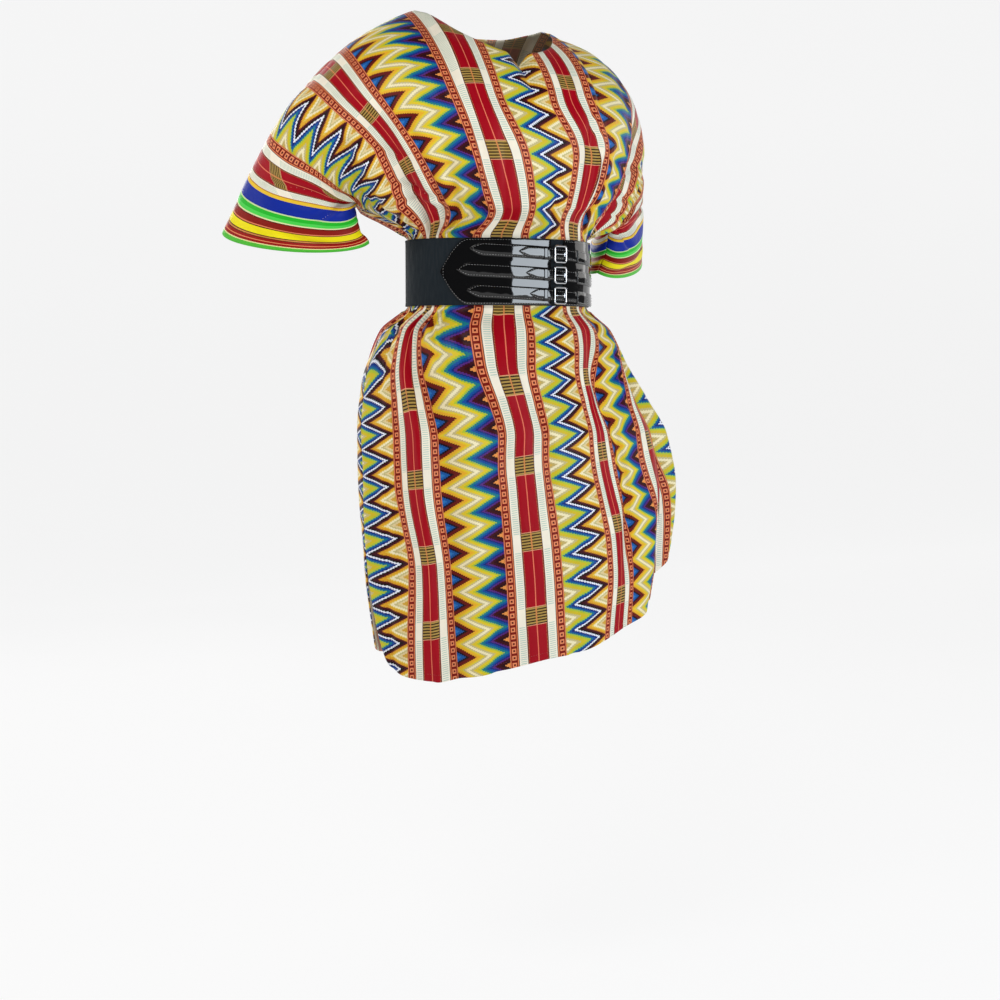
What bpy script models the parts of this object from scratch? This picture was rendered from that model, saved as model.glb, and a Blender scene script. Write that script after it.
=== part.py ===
"""Kaftan dress in its worn, hollow form, with its wide buckled belt.

Metres, +Z up. The origin is the centre of the neck's base, level with the shoulder
tops. +X is the wearer's left, -Y the front. The dress is two T-shaped panels, a front
and a back, each cut in one with its sleeve halves. A point of a panel is named by its
place on the flat cloth: "across" is the distance from the centre line, and "down" runs
0 to 1 from the shoulder or overarm seam to the armpit level, 1 to 2 from there to the
lower edge of the belt, and 2 to 3 from there to the hem.
"""

import math
from collections import namedtuple

import bmesh
import bpy
from mathutils import Vector

# Cloth
CLOTH = 0.0015  # wall thickness
SEAM_GAP = 0.0003
NECK_HALF = 0.109  # centre line to the neck point of the shoulder seam
SIDE_ACROSS = 0.36  # centre line to the side seam
CUFF_ACROSS = 0.57  # centre line to the cuff, half the width of the cloth
NECK_FRONT = 0.132  # how far the neckline lies before the shoulder line
NECK_FRONT_DROP = 0.068
NECK_BACK = 0.055
NECK_BACK_DROP = 0.015
NECK_CURVE = 1.5  # power that rounds the neckline's fall towards the centre
NOTCH_HALF = 0.018  # the small V at centre front
NOTCH_DROP = 0.021
NECK_TILT = 0.008  # the right neck point is this much higher, the left this much lower
TILT_END = 0.20  # the tilt has gone by here
LEFT_OVERARM_DROP = 0.017  # the wearer's left sleeve hangs this much lower at the cuff
LEFT_UNDERARM_DROP = 0.036
LEFT_FULLNESS = 0.80  # the front of the left sleeve stands out this much of the right's
BODICE_LENGTH = 0.26  # along the cloth, shoulder to armpit level
WAIST_LENGTH = 0.144  # armpit level to the lower edge of the belt
SKIRT_LENGTH = 0.53  # lower edge of the belt to the hem
FLAT_CENTRE = 0.127  # cloth this near the centre line is not gathered at the waist
GATHERED_DENSITY = 0.32  # share of its width that gathered cloth takes up at the waist
GATHER_FADE = 0.20  # the gathers open out over this much height below the belt
FOLD_START = 0.22  # share of a fold's length over which it deepens
FOLD_END = 0.30  # share over which it dies out, unless it runs off the hem
FLAT_ABOVE = 1.29  # folds are gone here, just above the belt, counting down the cloth
FLAT_BELOW = 2.0
FOLD_REACH = (0.30, 0.10)  # how soon they are back above and below it

# Grid of a panel
SLEEVE_COLUMNS = 6
SIDE_COLUMNS = 17  # neck point to side seam
NECK_COLUMNS = 5  # centre line to neck point
BODICE_ROWS = 10
SKIRT_ROWS = 10
ROW_SPREAD = 1.1  # power that sets the skirt's rows closer near the belt
SEAM_SHARE = 0.75  # each panel gives up this share of the seam gap
ARC_STEPS = 48  # steps in which a quarter of a section is measured
SHARP_ANGLE = math.radians(50.0)

# Belt
BELT_TOP = -0.344
BELT_HEIGHT = 0.100
BELT_HALF_WIDTH = 0.150
BELT_HALF_DEPTH = 0.112
BELT_CENTRE_X = 0.019
BELT_CENTRE_Y = 0.0
ELASTIC = 0.0022
DRESS_CLEARANCE = 0.0008  # between the elastic and the cloth under it
LAYER_GAP = 0.0003
PATENT = 0.0015
STRAP_HALF = 0.0098
STRAP_TILT = -0.05  # rise of the straps for each metre to the wearer's left
TIP_HALF = 0.0008  # a pointed end is this blunt
BUCKLE_HALF_WIDTH = 0.0130
BUCKLE_HALF_HEIGHT = 0.0135
BUCKLE_ROD = 0.0015  # radius of the wire
BUCKLE_CORNER = 0.004
BUCKLE_ANGLE = 18.0
BAND_SECTIONS = 72  # round the whole elastic
PLATE_STEP = 6.0  # degrees between the sections of a strap
BILLET_STEP = 4.0

FRONT, BACK = -1, 1
HEM_DOWN = 3.0

# Shoulder and overarm seam on the wearer's left, neck point to cuff
OverarmPoint = namedtuple("OverarmPoint", "x y z")
OVERARM = (
    OverarmPoint(0.109, 0.029, -0.004),
    OverarmPoint(0.155, 0.030, -0.020),
    OverarmPoint(0.197, 0.031, -0.040),
    OverarmPoint(0.225, 0.035, -0.062),
    OverarmPoint(0.250, 0.044, -0.090),
    OverarmPoint(0.275, 0.060, -0.122),
    OverarmPoint(0.297, 0.080, -0.155),
    OverarmPoint(0.330, 0.118, -0.215),
    OverarmPoint(0.366, 0.170, -0.325),
)

# Underarm seam on the wearer's left, armpit to cuff
UnderarmPoint = namedtuple("UnderarmPoint", "across x y z")
UNDERARM = (
    UnderarmPoint(0.36, 0.205, 0.020, -0.300),
    UnderarmPoint(0.43, 0.222, 0.024, -0.286),
    UnderarmPoint(0.50, 0.219, 0.025, -0.314),
    UnderarmPoint(0.57, 0.200, 0.020, -0.350),
)

# Where the middle of each column of cloth lies between its upper end and the armpit
# level, on the wearer's left half, and how its curve is carried forwards and down
Column = namedtuple("Column", "across middle_x middle_y middle_z carry_y carry_z")
FRONT_COLUMNS = (
    Column(0.000, 0.000, -0.168, -0.180, -0.150, -0.450),
    Column(0.050, 0.052, -0.166, -0.176, -0.170, -0.440),
    Column(0.109, 0.112, -0.152, -0.165, -0.440, -0.400),
    Column(0.160, 0.160, -0.128, -0.160, -0.400, -0.370),
    Column(0.200, 0.195, -0.104, -0.163, -0.320, -0.340),
    Column(0.260, 0.238, -0.068, -0.175, -0.180, -0.240),
    Column(0.300, 0.260, -0.043, -0.190, -0.080, -0.150),
    Column(0.360, 0.293, 0.003, -0.226, 0.000, 0.000),
    Column(0.570, 0.317, 0.060, -0.362, 0.000, 0.000),
)
BACK_COLUMNS = (
    Column(0.000, 0.000, 0.150, -0.165, 0.120, -0.440),
    Column(0.050, 0.052, 0.149, -0.162, 0.140, -0.420),
    Column(0.109, 0.112, 0.143, -0.152, 0.300, -0.360),
    Column(0.200, 0.185, 0.122, -0.157, 0.250, -0.360),
    Column(0.260, 0.220, 0.110, -0.172, 0.150, -0.260),
    Column(0.300, 0.236, 0.104, -0.187, 0.080, -0.160),
    Column(0.360, 0.226, 0.090, -0.222, 0.000, 0.000),
    Column(0.400, 0.248, 0.098, -0.250, 0.000, 0.000),
    Column(0.570, 0.262, 0.126, -0.343, 0.000, 0.000),
)

# Level sections of the body of the dress. Front and back are the half depths before
# and behind the centre, and turn is how far the centre line is carried to the left.
Ring = namedtuple("Ring", "z half_width front back centre_x centre_y turn")
UNDER_BELT_WIDTH = BELT_HALF_WIDTH - ELASTIC - DRESS_CLEARANCE
UNDER_BELT_DEPTH = BELT_HALF_DEPTH - ELASTIC - DRESS_CLEARANCE
RINGS = (
    Ring(-0.300, 0.205, 0.175, 0.125, 0.010, 0.020, 0.000),
    Ring(-0.342, UNDER_BELT_WIDTH, UNDER_BELT_DEPTH, UNDER_BELT_DEPTH, 0.019, 0.000, 0.000),
    Ring(-0.446, UNDER_BELT_WIDTH, UNDER_BELT_DEPTH, UNDER_BELT_DEPTH, 0.019, 0.000, 0.000),
    Ring(-0.482, 0.188, 0.128, 0.120, 0.014, -0.006, 0.000),
    Ring(-0.530, 0.216, 0.142, 0.131, 0.012, -0.012, 0.000),
    Ring(-0.590, 0.242, 0.150, 0.142, 0.022, -0.020, 0.004),
    Ring(-0.640, 0.259, 0.156, 0.150, 0.033, -0.028, 0.008),
    Ring(-0.730, 0.265, 0.160, 0.158, 0.039, -0.033, 0.012),
    Ring(-0.840, 0.253, 0.160, 0.156, 0.032, -0.033, 0.020),
    Ring(-0.920, 0.236, 0.156, 0.150, 0.024, -0.033, 0.024),
    Ring(-1.000, 0.218, 0.152, 0.144, 0.018, -0.033, 0.026),
)

# Height of the hem across each panel, side slit to side slit
HemPoint = namedtuple("HemPoint", "across front back")
HEM = (
    HemPoint(-0.360, -0.800, -0.800),
    HemPoint(-0.352, -0.900, -0.890),
    HemPoint(-0.345, -0.942, -0.925),
    HemPoint(-0.332, -0.979, -0.952),
    HemPoint(-0.315, -0.993, -0.966),
    HemPoint(-0.280, -1.000, -0.975),
    HemPoint(-0.230, -1.002, -0.980),
    HemPoint(-0.170, -0.992, -0.978),
    HemPoint(-0.050, -0.970, -0.968),
    HemPoint(0.030, -0.961, -0.960),
    HemPoint(0.100, -0.943, -0.950),
    HemPoint(0.180, -0.910, -0.935),
    HemPoint(0.250, -0.860, -0.920),
    HemPoint(0.310, -0.805, -0.890),
    HemPoint(0.345, -0.775, -0.840),
    HemPoint(0.360, -0.755, -0.755),
)

# Folds: a soft trough (depth below zero) or ridge along a line on the flat cloth
Fold = namedtuple("Fold", "from_across from_down to_across to_down width depth")
FRONT_FOLDS = (
    Fold(-0.215, 2.00, -0.205, 3.00, 0.024, -0.016),
    Fold(-0.165, 2.00, -0.170, 2.75, 0.022, 0.007),
    Fold(-0.275, 2.00, -0.290, 2.90, 0.026, -0.010),
    Fold(-0.320, 2.00, -0.335, 2.80, 0.018, -0.007),
    Fold(0.205, 2.00, 0.235, 3.10, 0.024, -0.018),
    Fold(0.155, 2.00, 0.170, 3.00, 0.026, 0.009),
    Fold(0.280, 2.00, 0.300, 3.00, 0.024, -0.011),
    Fold(0.325, 2.00, 0.335, 2.80, 0.018, -0.007),
    Fold(0.050, 2.05, 0.060, 2.90, 0.034, -0.005),
    Fold(-0.150, 0.45, -0.160, 1.45, 0.022, -0.009),
    Fold(-0.255, 0.35, -0.215, 1.45, 0.024, -0.014),
    Fold(-0.310, 0.30, -0.270, 1.40, 0.020, 0.006),
    Fold(0.170, 0.55, 0.155, 1.45, 0.022, -0.010),
    Fold(0.255, 0.35, 0.210, 1.45, 0.024, -0.014),
    Fold(0.310, 0.30, 0.270, 1.40, 0.020, 0.006),
    Fold(-0.350, 0.30, -0.365, 1.05, 0.022, -0.009),
    Fold(0.350, 0.30, 0.365, 1.05, 0.022, -0.007),
    Fold(-0.420, 0.95, -0.470, 0.30, 0.020, -0.007),
    Fold(0.420, 0.95, 0.470, 0.30, 0.020, -0.007),
)
BACK_FOLDS = (
    Fold(-0.200, 2.00, -0.220, 3.00, 0.026, -0.014),
    Fold(-0.120, 2.00, -0.130, 2.80, 0.030, 0.007),
    Fold(-0.290, 2.00, -0.300, 2.90, 0.024, -0.010),
    Fold(0.010, 2.00, 0.000, 2.90, 0.030, -0.008),
    Fold(0.130, 2.00, 0.150, 2.80, 0.030, 0.007),
    Fold(0.215, 2.00, 0.230, 3.00, 0.026, -0.014),
    Fold(0.300, 2.00, 0.315, 2.90, 0.022, -0.009),
    Fold(-0.080, 0.60, -0.070, 1.45, 0.026, -0.008),
    Fold(0.090, 0.55, 0.080, 1.45, 0.026, -0.008),
    Fold(-0.250, 0.40, -0.200, 1.45, 0.026, -0.012),
    Fold(0.250, 0.40, 0.200, 1.45, 0.026, -0.012),
    Fold(-0.420, 0.95, -0.460, 0.35, 0.022, -0.007),
    Fold(0.420, 0.95, 0.460, 0.35, 0.022, -0.007),
)

# Looks of the cloth and the belt: colour, roughness and metallic value
Finish = namedtuple("Finish", "colour roughness metallic")
PRINTED_COTTON = Finish((0.42, 0.10, 0.05), 0.60, 0.0)
BELT_ELASTIC = Finish((0.012, 0.018, 0.024), 0.85, 0.0)
PATENT_LEATHER = Finish((0.004, 0.004, 0.005), 0.12, 0.0)
SILVER_METAL = Finish((0.75, 0.76, 0.78), 0.20, 1.0)


def smooth_row(rows, at):
    """The values of a table at a place between its rows, with no overshoot."""
    if at <= rows[0][0]:
        return rows[0][1:]
    if at >= rows[-1][0]:
        return rows[-1][1:]
    k = next(n for n in range(len(rows) - 1) if at <= rows[n + 1][0])
    step = rows[k + 1][0] - rows[k][0]
    t = (at - rows[k][0]) / step
    values = []
    for column in range(1, len(rows[0])):
        low, high = rows[k][column], rows[k + 1][column]
        start = step * slope_at(rows, k, column)
        end = step * slope_at(rows, k + 1, column)
        values.append(hermite(low, high, start, end, t))
    return values


def slope_at(rows, k, column):
    """Slope at a row: the harmonic mean of its neighbours' slopes, or 0 at a peak."""
    if k == 0 or k == len(rows) - 1:
        near = rows[1] if k == 0 else rows[-2]
        return (near[column] - rows[k][column]) / (near[0] - rows[k][0])
    before = (rows[k][column] - rows[k - 1][column]) / (rows[k][0] - rows[k - 1][0])
    after = (rows[k + 1][column] - rows[k][column]) / (rows[k + 1][0] - rows[k][0])
    if before * after <= 0.0:
        return 0.0
    return 2.0 * before * after / (before + after)


def hermite(low, high, start, end, t):
    """Cubic from low to high with the given end velocities, for numbers or vectors."""
    rest = 1.0 - t
    return (
        low * (rest * rest * (1.0 + 2.0 * t))
        + high * (t * t * (3.0 - 2.0 * t))
        + start * (t * rest * rest)
        - end * (t * t * rest)
    )


def ease(value, low, high):
    """0 below low, 1 above high, smooth between."""
    t = min(1.0, max(0.0, (value - low) / (high - low)))
    return t * t * (3.0 - 2.0 * t)


def mirrored(vector, half):
    return Vector((vector[0] * half, vector[1], vector[2]))


OVERARM_STEPS = [
    (Vector(b) - Vector(a)).length for a, b in zip(OVERARM, OVERARM[1:])
]


def overarm_point(across):
    """Point of the shoulder and overarm seam on the left half, by distance from centre."""
    share = (across - NECK_HALF) / (CUFF_ACROSS - NECK_HALF)
    rows = []
    travelled = 0.0
    for point, step in zip(OVERARM, OVERARM_STEPS + [0.0]):
        rows.append((travelled / sum(OVERARM_STEPS), *point))
        travelled += step
    return Vector(smooth_row(rows, share))


def top_point(across, half, face):
    """Upper end of a column: on the neckline, or on the shoulder and overarm seam."""
    if across >= NECK_HALF:
        point = overarm_point(across)
    else:
        out = math.sqrt(1.0 - (across / NECK_HALF) ** 2)
        depth, drop = (NECK_FRONT, NECK_FRONT_DROP) if face == FRONT else (NECK_BACK, NECK_BACK_DROP)
        shoulder = OVERARM[0]
        point = Vector((
            across, shoulder.y + face * depth * out, shoulder.z - drop * out ** NECK_CURVE
        ))
        if face == FRONT:
            point.z -= NOTCH_DROP * max(0.0, 1.0 - across / NOTCH_HALF)
    slope = min(1.0, across / NECK_HALF) * (1.0 - ease(across, NECK_HALF, TILT_END))
    point.z -= half * NECK_TILT * slope
    point.z -= left_drop(across, half, LEFT_OVERARM_DROP)
    return mirrored(point, half)


def left_drop(across, half, drop):
    """How much lower the left sleeve hangs here, given its drop at the cuff."""
    return drop * ease(across, NECK_HALF, CUFF_ACROSS) if half > 0 else 0.0


def waist_share(across, gathered):
    """Share of the quarter girth from the centre line, with the sides gathered."""
    def width(value):
        flat = min(value, FLAT_CENTRE)
        return flat + (value - flat) * (1.0 + (GATHERED_DENSITY - 1.0) * gathered)
    return width(across) / width(SIDE_ACROSS)


def quarter_angle(share, half_width, half_depth):
    """Angle from the centre line whose arc is this share of the quarter ellipse."""
    lengths = [0.0]
    for step in range(ARC_STEPS):
        middle = (step + 0.5) * math.pi / 2 / ARC_STEPS
        reach = math.hypot(half_width * math.cos(middle), half_depth * math.sin(middle))
        lengths.append(lengths[-1] + reach)
    wanted = share * lengths[-1]
    k = next((n for n in range(ARC_STEPS) if lengths[n + 1] >= wanted), ARC_STEPS - 1)
    part = (wanted - lengths[k]) / (lengths[k + 1] - lengths[k])
    return (k + part) * math.pi / 2 / ARC_STEPS


def ring_point(across, half, face, z):
    """Point of the body of the dress at a height, by distance from the centre line."""
    width, front, back, centre_x, centre_y, turn = smooth_row(
        [(-row[0], *row[1:]) for row in RINGS], -z
    )
    depth = front if face == FRONT else back
    below = ease(-z, -RINGS[2].z, -RINGS[2].z + GATHER_FADE)
    above = ease(-z, -RINGS[0].z, -RINGS[1].z)
    gathered = above * (1.0 - below)
    angle = quarter_angle(waist_share(across, gathered), width, depth)
    angle *= half
    slack = math.cos(angle)
    return Vector((
        centre_x + width * math.sin(angle) + turn * slack,
        centre_y + face * depth * slack,
        z,
    ))


def hem_height(signed_across, face):
    front, back = smooth_row(HEM, signed_across)
    return front if face == FRONT else back


def base_point(signed_across, down, face):
    """Point of a panel before its folds."""
    half = -1.0 if signed_across < 0 else 1.0
    across = abs(signed_across)
    if down <= 1.0:
        top = top_point(across, half, face)
        if across <= SIDE_ACROSS:
            low = ring_point(across, half, face, RINGS[0].z)
        else:
            low = mirrored(smooth_row(UNDERARM, across), half)
            low.x += RINGS[0].centre_x
        low.z -= left_drop(across, half, LEFT_UNDERARM_DROP)
        row = smooth_row(FRONT_COLUMNS if face == FRONT else BACK_COLUMNS, across)
        middle = mirrored(row[:3], half)
        middle.z -= left_drop(across, half, (LEFT_OVERARM_DROP + LEFT_UNDERARM_DROP) / 2.0)
        bulge = middle - (top + low) / 2.0
        if face == FRONT and half > 0:
            bulge *= 1.0 - (1.0 - LEFT_FULLNESS) * ease(across, TILT_END, SIDE_ACROSS)
        carry = Vector((0.0, row[3], row[4])) / 2.0
        return hermite(top, low, carry + bulge * 4.0, carry - bulge * 4.0, down)
    if down <= 2.0:
        z = RINGS[0].z + (RINGS[2].z - RINGS[0].z) * (down - 1.0)
        point = ring_point(across, half, face, z)
        above_belt = 1.0 - ease(-z, -RINGS[0].z, -RINGS[1].z)
        point.z -= left_drop(across, half, LEFT_UNDERARM_DROP) * above_belt
        return point
    hem = hem_height(signed_across, face)
    z = RINGS[2].z + (hem - RINGS[2].z) * (down - 2.0)
    return ring_point(across, half, face, z)


def length_down(down):
    """Distance down the flat cloth from the shoulder."""
    return (
        BODICE_LENGTH * min(down, 1.0)
        + WAIST_LENGTH * min(max(down - 1.0, 0.0), 1.0)
        + SKIRT_LENGTH * max(down - 2.0, 0.0)
    )


def fold_depth(across, down, face):
    """Sum of the folds at a place on the flat cloth, none under the belt."""
    total = 0.0
    here = Vector((across, length_down(down)))
    for fold in FRONT_FOLDS if face == FRONT else BACK_FOLDS:
        start = Vector((fold.from_across, length_down(fold.from_down)))
        run = Vector((fold.to_across, length_down(fold.to_down))) - start
        along = (here - start).dot(run) / run.length_squared
        if not 0.0 < along < 1.0:
            continue
        aside = (here - start - run * along).length
        fade = ease(along, 0.0, FOLD_START)
        if fold.to_down < HEM_DOWN:
            fade *= ease(1.0 - along, 0.0, FOLD_END)
        total += fold.depth * fade * math.exp(-((aside / fold.width) ** 2))
    above = ease(FLAT_ABOVE - down, 0.0, FOLD_REACH[0])
    below = ease(down - FLAT_BELOW, 0.0, FOLD_REACH[1])
    return total * max(above, below)


def column_places():
    """Distances from the centre line, right cuff to left cuff, on a column each."""
    half = [NECK_HALF * n / NECK_COLUMNS for n in range(NECK_COLUMNS)]
    side_step = (SIDE_ACROSS - NECK_HALF) / SIDE_COLUMNS
    half += [NECK_HALF + side_step * n for n in range(SIDE_COLUMNS)]
    sleeve_step = (CUFF_ACROSS - SIDE_ACROSS) / SLEEVE_COLUMNS
    half += [SIDE_ACROSS + sleeve_step * n for n in range(SLEEVE_COLUMNS + 1)]
    return [-place for place in reversed(half[1:])] + half


def row_places():
    """Places down the cloth, a row each: the belt's edges have their own rows."""
    belt_start = 1.0 + (RINGS[0].z - RINGS[1].z) / (RINGS[0].z - RINGS[2].z)
    rows = [n / BODICE_ROWS for n in range(BODICE_ROWS)]
    rows += [1.0, 1.0 + (belt_start - 1.0) * 0.5, belt_start, (belt_start + 2.0) / 2.0]
    rows += [2.0 + (n / SKIRT_ROWS) ** ROW_SPREAD for n in range(SKIRT_ROWS + 1)]
    return rows


COLUMNS = column_places()
ROWS = row_places()
ARMPIT_ROW = BODICE_ROWS
RIGHT_SIDE = SLEEVE_COLUMNS
LEFT_SIDE = len(COLUMNS) - 1 - SLEEVE_COLUMNS
NECK_RIGHT = RIGHT_SIDE + SIDE_COLUMNS
NECK_LEFT = LEFT_SIDE - SIDE_COLUMNS


def cells():
    """Cells of the T-shaped grid, by column and row."""
    for column in range(len(COLUMNS) - 1):
        for row in range(len(ROWS) - 1):
            if row < ARMPIT_ROW or RIGHT_SIDE <= column < LEFT_SIDE:
                yield column, row


def corners(column, row, face):
    """A cell's corners, in the order that faces outwards."""
    loop = [(column, row), (column, row + 1), (column + 1, row + 1), (column + 1, row)]
    return loop if face == FRONT else loop[::-1]


def is_seam(key):
    """Whether a grid point lies on a seam, or on the slit below the side seam."""
    column, row = key
    overarm = row == 0 and (column <= NECK_RIGHT or column >= NECK_LEFT)
    underarm = row == ARMPIT_ROW and (column <= RIGHT_SIDE or column >= LEFT_SIDE)
    side = row >= ARMPIT_ROW and column in (RIGHT_SIDE, LEFT_SIDE)
    return overarm or underarm or side


def normals_of(points, face):
    """Outward normal at each grid point, and the mean direction into the panel."""
    normals = {key: Vector((0.0, 0.0, 0.0)) for key in points}
    inward = {key: Vector((0.0, 0.0, 0.0)) for key in points}
    for column, row in cells():
        loop = corners(column, row, face)
        a, b, c, d = (points[key] for key in loop)
        normal = (c - a).cross(d - b)
        middle = (a + b + c + d) / 4.0
        for key in loop:
            normals[key] += normal
            inward[key] += (middle - points[key]).normalized()
    return normals, inward


def shaped_panels():
    """Outer points and wall directions of both panels, folded and parted at the seams."""
    points = {}
    for face in (FRONT, BACK):
        used = sorted({key for cell in cells() for key in corners(*cell, face)})
        points[face] = {
            (column, row): base_point(COLUMNS[column], ROWS[row], face) for column, row in used
        }
    for is_folded in (False, True):
        normals, inward = {}, {}
        for face in (FRONT, BACK):
            normals[face], inward[face] = normals_of(points[face], face)
        for key in points[FRONT]:
            if is_seam(key):
                shared = normals[FRONT][key] + normals[BACK][key]
                normals[FRONT][key] = shared
                normals[BACK][key] = shared.copy()
        if is_folded:
            break
        for face in (FRONT, BACK):
            for key, point in points[face].items():
                across, down = COLUMNS[key[0]], ROWS[key[1]]
                depth = fold_depth(across, down, face)
                if is_seam(key):
                    depth = (fold_depth(across, down, FRONT) + fold_depth(across, down, BACK)) / 2.0
                points[face][key] = point + normals[face][key].normalized() * depth
    for face in (FRONT, BACK):
        for key, point in points[face].items():
            normal = normals[face][key].normalized()
            normals[face][key] = normal
            if is_seam(key):
                into = inward[face][key]
                into -= normal * into.dot(normal)
                points[face][key] = point + into.normalized() * (SEAM_GAP * SEAM_SHARE)
    return points, normals


def finished(obj, finish):
    """Gives a piece its material and puts it in the part's collection."""
    material = bpy.data.materials.new(obj.name + "_finish")
    material.use_nodes = True
    shader = material.node_tree.nodes["Principled BSDF"]
    shader.inputs["Base Color"].default_value = (*finish.colour, 1.0)
    shader.inputs["Roughness"].default_value = finish.roughness
    shader.inputs["Metallic"].default_value = finish.metallic
    obj.data.materials.append(material)
    for owner in list(obj.users_collection):
        owner.objects.unlink(obj)
    bpy.data.collections["kaftan_dress"].objects.link(obj)
    return obj


def halves(loop, points):
    """A cell's two triangles, cut on its shorter diagonal, the same on both faces."""
    a, b, c, d = loop
    if (points[a] - points[c]).length <= (points[b] - points[d]).length:
        return (a, b, c), (a, c, d)
    return (a, b, d), (b, c, d)


def cloth_panel(name, points, normals, face):
    """One panel: its outer and inner faces and the cut edges between them."""
    mesh = bmesh.new()
    outer = {key: mesh.verts.new(point) for key, point in points.items()}
    inner = {
        key: mesh.verts.new(point - normals[key] * CLOTH) for key, point in points.items()
    }
    edges = {}
    for column, row in cells():
        loop = corners(column, row, face)
        for triangle in halves(loop, points):
            mesh.faces.new([outer[key] for key in triangle])
            mesh.faces.new([inner[key] for key in reversed(triangle)])
        for pair in zip(loop, loop[1:] + loop[:1]):
            if pair[::-1] in edges:
                del edges[pair[::-1]]
            else:
                edges[pair] = True
    for start, end in edges:
        mesh.faces.new([outer[end], outer[start], inner[start], inner[end]])
    data = bpy.data.meshes.new(name)
    mesh.to_mesh(data)
    mesh.free()
    data.shade_smooth()
    data.set_sharp_from_angle(angle=SHARP_ANGLE)
    return finished(bpy.data.objects.new(name, data), PRINTED_COTTON)


def belt_point(angle_degrees, z, lift):
    """Point at a height on the belt, at an angle from centre front, lifted off it."""
    angle = math.radians(angle_degrees)
    outward = Vector((
        math.sin(angle) / BELT_HALF_WIDTH, -math.cos(angle) / BELT_HALF_DEPTH, 0.0
    )).normalized()
    surface = Vector((
        BELT_CENTRE_X + BELT_HALF_WIDTH * math.sin(angle),
        BELT_CENTRE_Y - BELT_HALF_DEPTH * math.cos(angle),
        z,
    ))
    return surface + outward * lift


def belt_metre(angle_degrees):
    """Distance along the belt from centre front, near enough for the straps' tilt."""
    return math.radians(angle_degrees) * (BELT_HALF_WIDTH + BELT_HALF_DEPTH) / 2.0


def plate(name, profile, lift, thickness, finish):
    """A flat piece bent round the belt. Profile rows are angle, lower and upper height."""
    mesh = bmesh.new()
    sections = []
    for angle, low, high in profile:
        sections.append([
            mesh.verts.new(belt_point(angle, z, lift + out))
            for z, out in ((low, thickness), (high, thickness), (high, 0.0), (low, 0.0))
        ])
    for one, two in zip(sections, sections[1:]):
        for k in range(4):
            after = (k + 1) % 4
            mesh.faces.new([one[k], two[k], two[after], one[after]])
    mesh.faces.new(sections[0])
    mesh.faces.new(sections[-1][::-1])
    data = bpy.data.meshes.new(name)
    mesh.to_mesh(data)
    mesh.free()
    return finished(bpy.data.objects.new(name, data), finish)


def steps(start, end, most):
    """Angles from start to end, no more than most degrees apart."""
    count = max(1, math.ceil(abs(end - start) / most))
    return [start + (end - start) * n / count for n in range(count + 1)]


def elastic_band():
    """The elastic: a closed band right round the waist."""
    mesh = bmesh.new()
    low, high = BELT_TOP - BELT_HEIGHT, BELT_TOP
    sections = []
    for n in range(BAND_SECTIONS):
        angle = 360.0 * n / BAND_SECTIONS
        sections.append([
            mesh.verts.new(belt_point(angle, z, out))
            for z, out in ((low, 0.0), (high, 0.0), (high, -ELASTIC), (low, -ELASTIC))
        ])
    for one, two in zip(sections, sections[1:] + sections[:1]):
        for k in range(4):
            after = (k + 1) % 4
            mesh.faces.new([one[k], two[k], two[after], one[after]])
    data = bpy.data.meshes.new("belt_elastic")
    mesh.to_mesh(data)
    mesh.free()
    return finished(bpy.data.objects.new("belt_elastic", data), BELT_ELASTIC)


PANEL_EDGE = 0.0006  # the patent panels stop this far inside the elastic's edges
PANEL_LIFT = LAYER_GAP
STRAP_LIFT = PANEL_LIFT + PATENT + LAYER_GAP
BILLET_LIFT = STRAP_LIFT + PATENT + LAYER_GAP
TOP_LIFT = BILLET_LIFT + PATENT + LAYER_GAP

# The three rows of straps: where each strap and each billet ends, in degrees from
# centre front, and the height of its middle at the strap's tip
StrapRow = namedtuple("StrapRow", "name tip_angle tip_z billet_angle")
STRAP_ROWS = (
    StrapRow("upper", -38.0, -0.3600, -8.7),
    StrapRow("middle", -46.4, -0.3905, -4.3),
    StrapRow("lower", -39.9, -0.4220, -1.8),
)
RIGHT_PANEL_TIP = -58.0
RIGHT_PANEL_SHOULDER = -38.5
RIGHT_PANEL_END = 12.5
LEFT_PANEL_START = 22.5
LEFT_PANEL_SHOULDER = 80.0
LEFT_PANEL_TIP = 97.0
STRAP_POINT = 9.0  # a strap's pointed end takes up this many degrees
BILLET_POINT = 6.0
BILLET_HALF = 0.0080
BILLET_END = 33.0
BASE_START = 35.0
BASE_END = 66.0
KEEPER_ANGLE = 8.0
KEEPER_HALF_ANGLE = 1.2
KEEPER_RISE = 0.0012  # the keeper bridges the billet by this thickness
STRAP_END = 11.5
PRONG_HALF = 0.0010


def strap_middle(row, angle):
    return row.tip_z + STRAP_TILT * (belt_metre(angle) - belt_metre(row.tip_angle))


def pointed(tip, shoulder, end, half, middle, most=PLATE_STEP):
    """Profile of a strip: a rounded point at the tip, then full width to its end."""
    rows = []
    for share in (0.0, 0.25, 0.6, 1.0):
        angle = tip + (shoulder - tip) * share
        width = TIP_HALF + (half - TIP_HALF) * math.sin(share * math.pi / 2)
        rows.append((angle, middle(angle) - width, middle(angle) + width))
    for angle in steps(shoulder, end, most)[1:]:
        rows.append((angle, middle(angle) - half, middle(angle) + half))
    return sorted(rows)


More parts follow.
